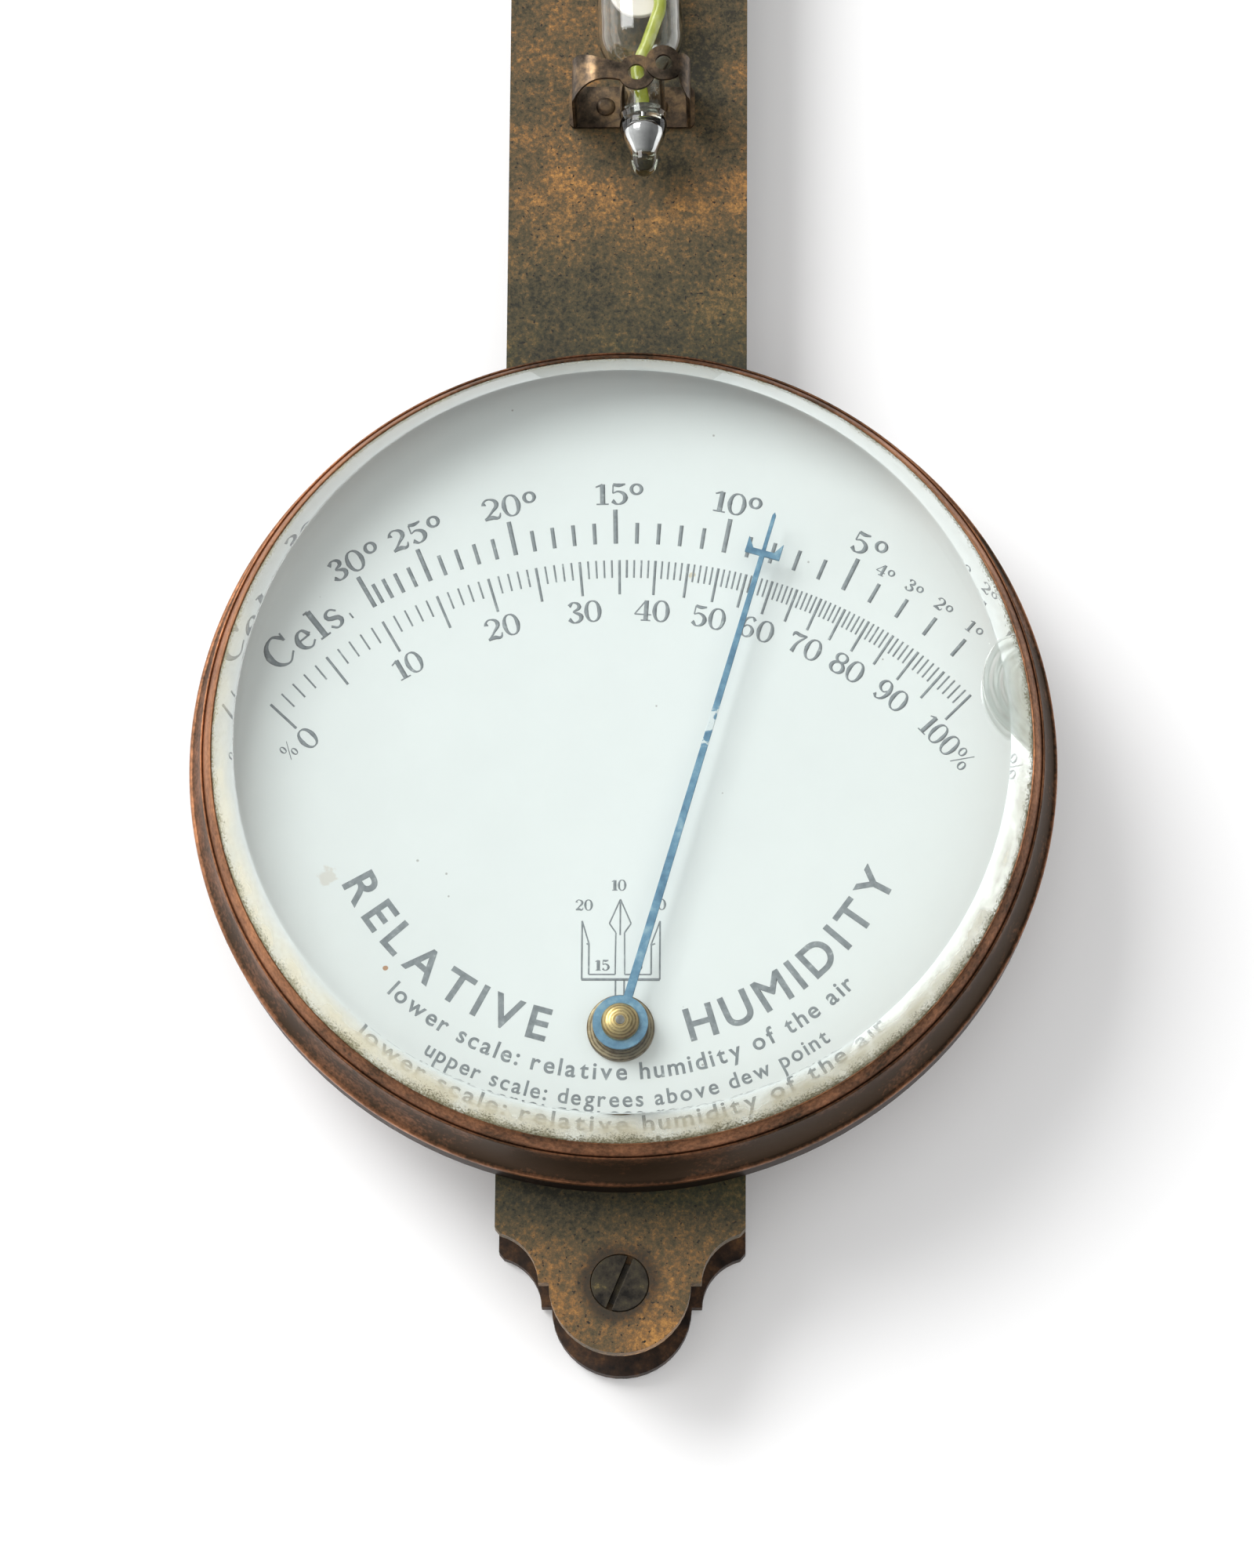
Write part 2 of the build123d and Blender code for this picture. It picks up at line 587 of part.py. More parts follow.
# ---------------------------------------------------------------- hair and its adjuster
def along_hair(z):
    return Pos(HAIR_X, GAP_MIDDLE, z)


def hair_bundle():
    """Taut bundle from inside the clamp down to where it meets the pulley's groove."""
    top = CLAMP_TOP - CLAMP_HEIGHT * 0.4
    length = top - PIVOT_Z
    return along_hair(PIVOT_Z + length / 2) * Cylinder(HAIR_R, length)


def adjusting_rod():
    return along_hair(NUT_Z) * Cylinder(ROD_R, ROD_LENGTH)


def adjusting_nut():
    """Knurled thumb nut, held between the yoke's arms."""
    nut = Cylinder(NUT_R, NUT_HEIGHT)
    nut = chamfer(nut.edges().filter_by(GeomType.CIRCLE), 0.5)
    tooth = Rot(0, 0, 45) * Box(0.5, 0.5, NUT_HEIGHT + 1)
    for place_no in range(NUT_TEETH):
        nut -= Rot(0, 0, place_no * 360 / NUT_TEETH) * Pos(NUT_R, 0, 0) * tooth
    nut -= Cylinder(ROD_R + FIT, NUT_HEIGHT + 1)
    return along_hair(NUT_Z) * nut


def adjuster_yoke():
    """Bent bracket on the back of the front plate; its two arms guide the rod and hold the nut."""
    inner = YOKE_INSIDE / 2
    outer = inner + YOKE_ARM
    arm_end = GAP_MIDDLE + ROD_R + 2.0
    back = FRONT_BACK + YOKE_BACK
    side = make_face(Polyline(
        (FRONT_BACK, -outer - YOKE_LUG), (back, -outer - YOKE_LUG), (back, -outer), (arm_end, -outer),
        (arm_end, -inner), (back, -inner), (back, inner), (arm_end, inner), (arm_end, outer), (back, outer),
        (back, outer + YOKE_LUG), (FRONT_BACK, outer + YOKE_LUG), close=True))
    yoke = Pos(HAIR_X, 0, NUT_Z) * extrude(Plane.YZ * side, amount=YOKE_WIDTH / 2, both=True)
    yoke -= along_hair(NUT_Z) * Cylinder(ROD_R + FIT, 2 * outer + 1)
    for x, z in YOKE_SCREWS:
        yoke -= rod_y(SMALL_SCREW_R + FREE, back + 1, FRONT_BACK - 1, x, z)
    return yoke


def hair_clamp():
    """Small block on the rod's lower end, drilled for the hair and for its pinching screw."""
    middle = CLAMP_TOP - CLAMP_HEIGHT / 2
    block = along_hair(middle) * Box(CLAMP_SIZE, CLAMP_SIZE, CLAMP_HEIGHT)
    block = fillet(block.edges().filter_by(Axis.Z), 0.5)
    hole = CLAMP_HEIGHT * 0.6
    block -= along_hair(CLAMP_TOP - CLAMP_HEIGHT + hole / 2) * Cylinder(HAIR_R, hole)
    screw_z = CLAMP_TOP - CLAMP_HEIGHT * 0.75
    reach = CLAMP_SIZE / 2
    block -= Pos(HAIR_X + reach / 2 + 0.1, GAP_MIDDLE, screw_z) * Rot(0, 90, 0) * Cylinder(SMALL_SCREW_R, reach)
    return block


def hair_clamp_screw():
    screw_z = CLAMP_TOP - CLAMP_HEIGHT * 0.75
    reach = CLAMP_SIZE / 2 - HAIR_R
    shank = Pos(HAIR_R + reach / 2, 0, 0) * Rot(0, 90, 0) * Cylinder(SMALL_SCREW_R, reach)
    head = Pos(CLAMP_SIZE / 2 + SMALL_HEAD_H / 2, 0, 0) * Rot(0, 90, 0) * Cylinder(SMALL_HEAD_R, SMALL_HEAD_H)
    slot = Pos(CLAMP_SIZE / 2 + SMALL_HEAD_H, 0, 0) * Box(SMALL_HEAD_H, 2 * SMALL_HEAD_R + 1, 0.45)
    return along_hair(screw_z) * (shank + head - slot)


# ---------------------------------------------------------------- thermometer
THERMO_Y = FRONT_FACE - THERMO_STANDOFF
THERMO_PLACE = Pos(THERMO_X, THERMO_Y, DIAL_Z + BULB_ABOVE_DIAL) * Rot(0, -THERMO_LEAN, 0)
JACKET_TOP = THERMO_LENGTH - BULB_LENGTH - TIP_LENGTH


def turned_z(section):
    return THERMO_PLACE * revolve(Plane.XZ * section, Axis.Z)


def jacket_half(radius, stem, low, top, dome):
    """Half section of the jacket's outside or inside, from its foot to its domed top."""
    shoulder_top = STEM_LENGTH + SHOULDER_LENGTH
    waist = ((stem + radius) / 2, STEM_LENGTH + SHOULDER_LENGTH / 2)
    return [
        Line((stem, low), (stem, STEM_LENGTH)),
        TangentArc((stem, STEM_LENGTH), waist, tangent=(0, 1)),
        TangentArc((radius, shoulder_top), waist, tangent=(0, -1)),
        Line((radius, shoulder_top), (radius, top - dome)),
        Spline((radius, top - dome), (radius * 0.72, top - dome * 0.3), (0, top), tangents=((0, 1), (-1, 0))),
    ]


def thermometer_jacket():
    """Blown glass tube, necked at the lower end and domed at the top."""
    wall = JACKET_WALL
    outside = jacket_half(JACKET_R, STEM_R, 0, JACKET_TOP, 4.5)
    inside = jacket_half(JACKET_R - wall, STEM_R - wall, 0, JACKET_TOP - wall, 3.9)
    foot = Line((STEM_R, 0), (STEM_R - wall, 0))
    crown = Line((0, JACKET_TOP), (0, JACKET_TOP - wall))
    return turned_z(drawn(*outside, foot, *inside, crown))


def bulb_half(skin):
    """Half section of the bulb: round shoulder, long taper and a drawn-out tip."""
    top_r = BULB_R - skin
    waist_r = TIP_R + 0.05 - skin
    waist_z = -BULB_LENGTH
    return top_r, waist_r, waist_z


def thermometer_bulb():
    """Thin glass bulb under the jacket, closed by a drawn glass tip."""
    neck = STEM_R - JACKET_WALL - FIT
    top_r, waist_r, waist_z = bulb_half(0)
    end = waist_z - TIP_LENGTH
    outside = drawn(
        Polyline((0, 1.3), (neck, 1.3), (neck, 0), (STEM_R, 0)),
        ThreePointArc((STEM_R, 0), (top_r, -0.75), (top_r - 0.15, -1.6)),
        Spline((top_r - 0.15, -1.6), (waist_r + 0.35, -3.5), (waist_r, waist_z), tangents=((-0.2, -1), (0, -1))),
        Spline((waist_r, waist_z), (TIP_R, waist_z - 1.0), (0, end), tangents=((0, -1), (-1, 0))),
        Line((0, end), (0, 1.3)),
    )
    return turned_z(outside - mercury_section())


def mercury_section():
    top_r, waist_r, waist_z = bulb_half(BULB_WALL)
    thread = 0.25
    shoulder = (top_r - 1.1, -0.45)
    side = (top_r - 0.15, -1.6)
    return drawn(
        Polyline((0, 0.9), (thread, 0.9), (thread, -0.45), shoulder),
        ThreePointArc(shoulder, (top_r - 0.4, -0.8), side),
        Spline(side, (waist_r + 0.35, -3.5), (0, waist_z - 0.2), tangents=((-0.2, -1), (-1, -0.2))),
        Line((0, waist_z - 0.2), (0, 0.9)),
    )


def mercury():
    return turned_z(mercury_section())


def thermometer_scale():
    """Strip of opal glass with rounded ends, behind the capillary."""
    length = JACKET_TOP - 6.0 - SCALE_START
    strip = SlotOverall(length, SCALE_WIDTH, rotation=90)
    solid = extrude(Plane.XZ * strip, amount=SCALE_THICK / 2, both=True)
    return THERMO_PLACE * Pos(0, CAPILLARY_R + SCALE_THICK / 2, SCALE_START + length / 2) * solid


def thermometer_capillary():
    """Capillary: a double bend in the stem, then straight up in front of the scale."""
    foot = 1.3
    knee_low = (-CAPILLARY_SWING, foot + 5.3)
    knee_top = (CAPILLARY_BULGE, SCALE_START + 1.1)
    top = JACKET_TOP - 8.0
    route = FilletPolyline(
        (0, foot), (0, foot + 1.0), knee_low, knee_top, (0, SCALE_START + 10.5), (0, top),
        radius=[2.4, 2.6, 3.6, 4.0])
    path = Plane.XZ * route
    start = Plane(origin=(0, 0, foot), z_dir=(0, 0, 1))
    tube = sweep(start * Circle(CAPILLARY_R), path)
    return THERMO_PLACE * tube


# ---------------------------------------------------------------- clips
def band_outline(half, front, corner, back):
    """Top view of a bent strip's outside or inside: two straight sides and a front with round corners."""
    bend = corner * (1 - math.sqrt(0.5))
    return drawn(
        Line((-half, back), (-half, front + corner)),
        ThreePointArc((-half, front + corner), (-half + bend, front + bend), (-half + corner, front)),
        Line((-half + corner, front), (half - corner, front)),
        ThreePointArc((half - corner, front), (half - bend, front + bend), (half, front + corner)),
        Line((half, front + corner), (half, back)),
        Line((half, back), (-half, back)),
    )


def clip_band(front, side):
    """One arm of a clip as a strip bent round the tube, from the base to a little past the middle."""
    outside = band_outline(CLIP_HALF, front, CLIP_CORNER, FRONT_FACE)
    inside = band_outline(CLIP_HALF - CLIP_SHEET, front + CLIP_SHEET, CLIP_CORNER - CLIP_SHEET, FRONT_FACE + 1)
    band = extrude(outside - inside, amount=2 * CLIP_HEIGHT)
    past_middle = RING_LEFT_X - CLIP_X + RING_R
    room = Pos(side * (CLIP_HALF - past_middle), 0, 0) * Box(2 * CLIP_HALF, 8 * CLIP_HALF, 6 * CLIP_HEIGHT)
    return band & room


def arm_front(side, ring_x, ring_z):
    """Front view of an arm: deep at the base, with an arched lower edge, down to a ring at its end."""
    edge = side * (CLIP_HALF + 0.5)
    inner_x = ring_x + side * RING_R * 0.75
    strip = RING_R * 0.5
    arch_top = ring_z - strip
    wing = drawn(
        Line((edge, 0), (edge, CLIP_HEIGHT)),
        Line((edge, CLIP_HEIGHT), (side * (CLIP_HALF - 0.9), CLIP_HEIGHT)),
        Line((side * (CLIP_HALF - 0.9), CLIP_HEIGHT), (inner_x, ring_z + strip)),
        Line((inner_x, ring_z + strip), (inner_x, arch_top)),
        ThreePointArc((inner_x, arch_top), (side * (CLIP_HALF - 1.1), arch_top * 0.5), (side * (CLIP_HALF - 0.3), 0)),
        Line((side * (CLIP_HALF - 0.3), 0), (edge, 0)),
    )
    return wing + Pos(ring_x, ring_z) * Circle(RING_R) - Pos(ring_x, ring_z) * Circle(RING_HOLE_R)


def thermometer_clip(base_z, tube_r):
    """Clip of bent sheet brass: a flat base, and two arms that end in rings, one before the other."""
    reach = THERMO_STANDOFF + tube_r + CLIP_AIR + CLIP_SHEET
    arms = []
    for side, ring_x, rise, ahead in (
        (-1, RING_LEFT_X - CLIP_X, 0.0, 0.0),
        (1, RING_RIGHT_X - CLIP_X, RING_STAGGER, CLIP_SHEET + FIT),
    ):
        ring_z = CLIP_HEIGHT - RING_R + rise - 0.4
        view = facing_plate(arm_front(side, ring_x, ring_z), FRONT_FACE, 2 * reach)
        arms.append(clip_band(FRONT_FACE - reach - ahead, side) & view)
    width = 2 * (CLIP_HALF + CLIP_BASE_MARGIN)
    base = facing_plate(Pos(0, CLIP_HEIGHT / 2) * RectangleRounded(width, CLIP_HEIGHT, 0.8), FRONT_FACE, CLIP_SHEET)
    clip = Pos(CLIP_X, 0, base_z) * (base + arms[0] + arms[1])
    for x, z in clip_rivet_places(base_z):
        clip -= rod_y(RIVET_R, FRONT_FACE + 1, FRONT_FACE - CLIP_SHEET - 1, x, z)
    return clip


def clip_rivets(base_z):
    """Two rivets, headed on the clip's base and flush at the back of the front plate."""
    head_seat = FRONT_FACE - CLIP_SHEET
    solids = []
    for x, z in clip_rivet_places(base_z):
        shank = rod_y(RIVET_R, FRONT_BACK, head_seat, x, z)
        head = Pos(x, 0, 0) * turned([
            (0, head_seat), (RIVET_HEAD_R, head_seat), (RIVET_HEAD_R * 0.9, head_seat - RIVET_HEAD_H * 0.6),
            (RIVET_HEAD_R * 0.5, head_seat - RIVET_HEAD_H), (0, head_seat - RIVET_HEAD_H),
        ], z)
        solids.append(shank + head)
    return Compound(children=solids)


# ---------------------------------------------------------------- the instrument
def group(solids):
    return Compound(children=list(solids))


place(rear_plate(), "rear_plate")
place(front_plate(), "front_plate")
place(pillar(LOW_SCREW_Z), "lower_pillar")
place(pillar(TOP_SCREW_Z), "upper_pillar")
place(front_screw(LOW_SCREW_Z, LOW_SLOT_ANGLE), "lower_front_screw")
place(front_screw(TOP_SCREW_Z, TOP_SLOT_ANGLE), "upper_front_screw")
place(group(rear_screw(z) for z in (LOW_SCREW_Z, TOP_SCREW_Z)), "rear_plate_screws")

place(case_pan(), "case_pan")
CASE_SCREW_SIZES = (FRONT_FACE - CASE_FLOOR, CASE_FLOOR + FRONT_THICK, CASE_SCREW_R, CASE_SCREW_HEAD_R,
                    -CASE_SCREW_HEAD_H)
place(group(small_screw(x, z, *CASE_SCREW_SIZES) for x, z in CASE_SCREWS), "case_screws")
place(dial_seat_ring(), "dial_seat_ring")
place(dial_plate(), "dial_plate")
place(bezel(), "bezel")
place(dial_glass(), "dial_glass")
place(glass_split_ring(), "glass_split_ring")

place(front_bush(), "front_bush")
place(rear_bush(), "rear_bush")
place(arbor(), "arbor")
place(pointer(), "pointer")
place(pointer_collet(), "pointer_collet")
place(pointer_cap(), "pointer_cap")
place(hair_pulley(), "hair_pulley")
place(hub_set_screw(), "hub_set_screw")
place(weight_arm(), "weight_arm")
place(counterweight(), "counterweight")

place(hair_bundle(), "hair_bundle")
place(hair_clamp(), "hair_clamp")
place(hair_clamp_screw(), "hair_clamp_screw")
place(adjusting_rod(), "adjusting_rod")
place(adjusting_nut(), "adjusting_nut")
place(adjuster_yoke(), "adjuster_yoke")
YOKE_SCREW_SIZES = (FRONT_BACK + YOKE_BACK, YOKE_BACK + FRONT_THICK * 0.6, SMALL_SCREW_R, SMALL_HEAD_R,
                    SMALL_HEAD_H)
place(group(small_screw(x, z, *YOKE_SCREW_SIZES) for x, z in YOKE_SCREWS), "yoke_screws")

place(thermometer_jacket(), "thermometer_jacket")
place(thermometer_scale(), "thermometer_scale")
place(thermometer_capillary(), "thermometer_capillary")
place(thermometer_bulb(), "thermometer_bulb")
place(mercury(), "mercury")
for end, (clip_z, held_r) in CLIPS.items():
    place(thermometer_clip(clip_z, held_r), end + "_clip")
    place(clip_rivets(clip_z), end + "_clip_rivets")

os.makedirs("parts", exist_ok=True)
for name, solid in NODES.items():
    export_step(solid, "parts/" + name + ".step")
    print(name, round(solid.volume, 2))
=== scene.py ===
"""Dial hygrometer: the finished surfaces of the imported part, with its stage.

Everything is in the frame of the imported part: metres, +X to the right, -Y towards the viewer, +Z up,
with the hanging hole at the origin.
"""

import json
import math

import bpy
from bpy.props import FloatProperty, StringProperty
from bpy.types import Operator, Panel, PropertyGroup
from mathutils import Matrix, Vector

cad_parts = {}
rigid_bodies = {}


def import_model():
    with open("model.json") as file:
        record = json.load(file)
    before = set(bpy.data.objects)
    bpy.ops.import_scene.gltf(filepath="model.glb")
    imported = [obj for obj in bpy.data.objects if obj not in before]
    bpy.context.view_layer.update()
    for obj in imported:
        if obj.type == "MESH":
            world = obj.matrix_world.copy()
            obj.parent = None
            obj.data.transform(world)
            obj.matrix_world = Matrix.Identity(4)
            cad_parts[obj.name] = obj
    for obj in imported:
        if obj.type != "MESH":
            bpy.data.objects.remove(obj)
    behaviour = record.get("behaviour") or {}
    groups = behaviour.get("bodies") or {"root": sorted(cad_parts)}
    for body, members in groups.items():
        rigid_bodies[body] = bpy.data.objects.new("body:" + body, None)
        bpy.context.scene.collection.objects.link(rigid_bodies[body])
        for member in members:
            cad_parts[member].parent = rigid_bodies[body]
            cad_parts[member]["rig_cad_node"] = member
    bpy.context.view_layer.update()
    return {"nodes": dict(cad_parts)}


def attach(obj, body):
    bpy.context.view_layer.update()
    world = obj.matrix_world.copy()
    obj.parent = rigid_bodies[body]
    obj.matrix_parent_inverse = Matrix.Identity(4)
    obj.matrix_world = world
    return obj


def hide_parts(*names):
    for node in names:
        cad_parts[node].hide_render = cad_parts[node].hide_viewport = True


bl_info = {
    "name": "Dial hygrometer",
    "version": (1, 0, 0),
    "blender": (4, 5, 0),
    "location": "View3D > Sidebar > Hygrometer",
    "description": "Builds the finished pieces, materials and stage of a wall hygrometer",
    "category": "Object",
}

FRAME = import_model()
MM = 0.001

# Places on the instrument, in millimetres
DIAL = (0.0, -186.0)           # middle of the dial
PIVOT = (0.0, -218.3)          # the hand's arbor
SCALES = (0.3, -218.5)         # middle of both printed arcs
WORDS = (-0.5, -185.0)         # middle of the arcs the words stand on
DIAL_FACE = -17.8
FRONT_FACE = -14.9             # front of the front plate
CASE_RIM = -18.5
LIP = -26.5                    # front edge of the ring that holds the glass
BOSS_FACE = -18.6
HAND_FACE = -20.95
CASE_R = 50.45
RING_R = 47.45                 # inner edge of the ring that holds the glass
GLASS_R = 48.0
GLASS_FLAT_R = 44.8            # where the bevel of the glass starts
GLASS_PROUD = 3.43             # how far the flat stands in front of the ring
GRIME_R = 44.9                 # how far in the grime has crept
TUBE_FOOT = (1.9, -21.5, -106.0)   # top of the thermometer's bulb
TUBE_LEAN = 2.0                    # degrees, lower end to the right
TUBE_TOP = 84.8                    # bulb to the crown of the tube
SMOOTH_ANGLE = math.radians(35.0)  # faces that meet more sharply stay crisp
BREAK_ANGLE = math.radians(30.0)   # edges sharper than this are broken


# ---------------------------------------------------------------- small tools
def linear(hex_text):
    """sRGB hex to linear RGBA."""
    parts = [int(hex_text[i:i + 2], 16) / 255 for i in (1, 3, 5)]
    return [c / 12.92 if c <= 0.04045 else ((c + 0.055) / 1.055) ** 2.4 for c in parts] + [1.0]


def put(socket, value):
    """Links an input to another node's output, or sets its plain value."""
    if isinstance(value, bpy.types.NodeSocket):
        socket.id_data.links.new(value, socket)
    else:
        socket.default_value = value


def add(material, kind, inputs=(), ramp=None, out=0, **settings):
    """One node with its settings, inputs (in order or by key) and ramp stops. Returns one of its outputs."""
    made = material.node_tree.nodes.new("ShaderNode" + kind)
    for key, value in settings.items():
        setattr(made, key, value)
    for key, value in inputs.items() if isinstance(inputs, dict) else enumerate(inputs):
        put(made.inputs[key], value)
    if ramp:
        while len(made.color_ramp.elements) < len(ramp):
            made.color_ramp.elements.new(0.5)
        for stop, (place, colour) in zip(made.color_ramp.elements, ramp):
            stop.position = place
            stop.color = linear(colour) if isinstance(colour, str) else [colour] * 3 + [1.0]
    return made.outputs[out]


def total(material, *parts, operation="ADD"):
    """The parts added, or taken together by another operation, from the left."""
    result = parts[0]
    for part in parts[1:]:
        result = add(material, "Math", [result, part], operation=operation)
    return result


def feed(shader, **inputs):
    """Sets or links a shader's inputs, whose names have underscores for spaces."""
    for key, value in inputs.items():
        put(shader.inputs[key.replace("_", " ")], value)


def new_material(name, **inputs):
    """A material, its Principled shader and the place on the object, for patterns."""
    material = bpy.data.materials.new(name)
    material.use_nodes = True
    shader = material.node_tree.nodes["Principled BSDF"]
    feed(shader, **inputs)
    return material, shader, add(material, "TexCoord", out="Object")


def pick(piece):
    """Selects one object and makes it active, in object mode."""
    if bpy.context.object and bpy.context.object.mode != "OBJECT":
        bpy.ops.object.mode_set(mode="OBJECT")
    bpy.ops.object.select_all(action="DESELECT")
    piece.select_set(True)
    bpy.context.view_layer.objects.active = piece
    return piece


def apply_modifier(piece, kind, **settings):
    pick(piece)
    bpy.ops.object.modifier_add(type=kind)
    modifier = piece.modifiers[-1]
    for key, value in settings.items():
        setattr(modifier, key, value)
    bpy.ops.object.modifier_apply(modifier=modifier.name)


def dress(piece, body, slot, *finishes, node=None):
    """Gives a piece its materials and its body, and hides the CAD node it stands for. The slot is not used.
    """
    piece.data.materials.clear()
    for name in finishes:
        piece.data.materials.append(finish_of(name))
    if node:
        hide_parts(node)
    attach(piece, body)


def spun(name, section, centre=(0.0, 0.0), axis="Y", turn=360.0, steps=192):
    """Spins a closed section round an axis. The section is (radius, along the axis) in millimetres."""
    bpy.ops.object.select_all(action="DESELECT")
    bpy.ops.mesh.primitive_circle_add(vertices=len(section), radius=MM)
    piece = bpy.context.object
    piece.name = name
    piece.data.name = name
    middle = Vector((centre[0], 0, centre[1])) * MM
    for vertex, (radius, along) in zip(piece.data.vertices, section):
        offset = Vector((radius, along, 0)) if axis == "Y" else Vector((radius, 0, along))
        vertex.co = middle + offset * MM
    bpy.ops.object.mode_set(mode="EDIT")
    bpy.ops.mesh.select_all(action="SELECT")
    direction = (0, 1, 0) if axis == "Y" else (0, 0, 1)
    bpy.ops.mesh.spin(steps=steps, angle=math.radians(turn), center=middle, axis=direction)
    bpy.ops.mesh.select_all(action="SELECT")
    bpy.ops.mesh.remove_doubles(threshold=1e-6)
    if turn < 360:
        # the two open ends are closed
        bpy.ops.mesh.select_all(action="DESELECT")
        bpy.ops.mesh.select_mode(type="EDGE")
        bpy.ops.mesh.select_non_manifold(extend=False)
        bpy.ops.mesh.fill()
        bpy.ops.mesh.select_all(action="SELECT")
    bpy.ops.mesh.normals_make_consistent(inside=False)
    bpy.ops.object.mode_set(mode="OBJECT")
    pick(piece)
    bpy.ops.object.shade_smooth_by_angle(angle=SMOOTH_ANGLE)
    return piece


def arc(centre, radius, start, end, count=8):
    """Points of an arc in a section; angles in degrees from outwards (+r) towards +along."""
    points = []
    for i in range(count + 1):
        angle = math.radians(start + (end - start) * i / count)
        points.append((centre[0] + radius * math.cos(angle), centre[1] + radius * math.sin(angle)))
    return points


def finish(node, body, slot, edge, *finishes):
    """A merged copy of a CAD piece, its sharp edges broken by so many mm. A second finish dresses those."""
    pick(FRAME["nodes"][node])
    bpy.ops.object.duplicate()
    piece = bpy.context.object
    piece.name = node + "_finish"
    piece.data.name = piece.name
    del piece["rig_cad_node"]
    bpy.ops.object.mode_set(mode="EDIT")
    bpy.ops.mesh.select_all(action="SELECT")
    bpy.ops.mesh.remove_doubles(threshold=2e-6)
    bpy.ops.mesh.dissolve_limited(angle_limit=math.radians(0.5))
    bpy.ops.object.mode_set(mode="OBJECT")
    if edge:
        apply_modifier(
            piece, "BEVEL", width=edge * MM, segments=2, limit_method="ANGLE", angle_limit=BREAK_ANGLE,
            use_clamp_overlap=True, material=1 if len(finishes) > 1 else -1,
        )
    pick(piece)
    bpy.ops.object.shade_smooth_by_angle(angle=SMOOTH_ANGLE)
    if edge:
        # wide faces keep their true normals, so that only the broken edges are shaded round
        apply_modifier(piece, "WEIGHTED_NORMAL", weight=100, keep_sharp=True)
    dress(piece, body, slot, *finishes, node=node)


def drawn_line(name, strokes):
    """Pen strokes on the dial: lists of (x, z, width) in millimetres, closed if the last point is None."""
    line = bpy.data.curves.new(name, "CURVE")
    line.dimensions = "3D"
    line.bevel_depth = 0.5 * MM
    line.bevel_resolution = 1
    line.resolution_u = 5
    line.use_fill_caps = True
    for stroke in strokes:
        points = [p for p in stroke if p is not None]
        spline = line.splines.new("BEZIER")
        spline.bezier_points.add(len(points) - 1)
        spline.use_cyclic_u = stroke[-1] is None
        if len(points) == 2:
            spline.resolution_u = 1
        for knot, (x, z, width) in zip(spline.bezier_points, points):
            knot.co = (x * MM, 0, z * MM)
            knot.radius = width
            knot.handle_left_type = knot.handle_right_type = "AUTO"
    piece = bpy.data.objects.new(name, line)
    bpy.context.scene.collection.objects.link(piece)
    pick(piece)
    bpy.ops.object.convert(target="MESH")
    piece = bpy.context.object
    # Ink is pressed nearly flat, just proud of the enamel
    proud = Matrix.Translation((0, (DIAL_FACE - 0.012) * MM, 0))
    piece.data.transform(proud @ Matrix.Diagonal((1, 0.03, 1, 1)))
    return piece


# ---------------------------------------------------------------- materials
def mottled(name, scale, detail, roughness, ramp, rough=None, relief=None, **inputs):
    """A finish with one pattern, which carries its colours and, where given, its gloss and its relief."""
    mat, shader, place = new_material(name, **inputs)
    mottle = add(mat, "TexNoise", {"Vector": place, "Scale": scale, "Detail": detail, "Roughness": roughness})
    feed(shader, Base_Color=add(mat, "ValToRGB", [mottle], ramp=ramp))
    if rough:
        feed(shader, Roughness=add(mat, "MapRange", [mottle, 0.35, 0.7, *rough]))
    if relief:
        feed(shader, Normal=add(mat, "Bump", {"Height": mottle, "Strength": relief, "Distance": 0.05 * MM}))
    return mat


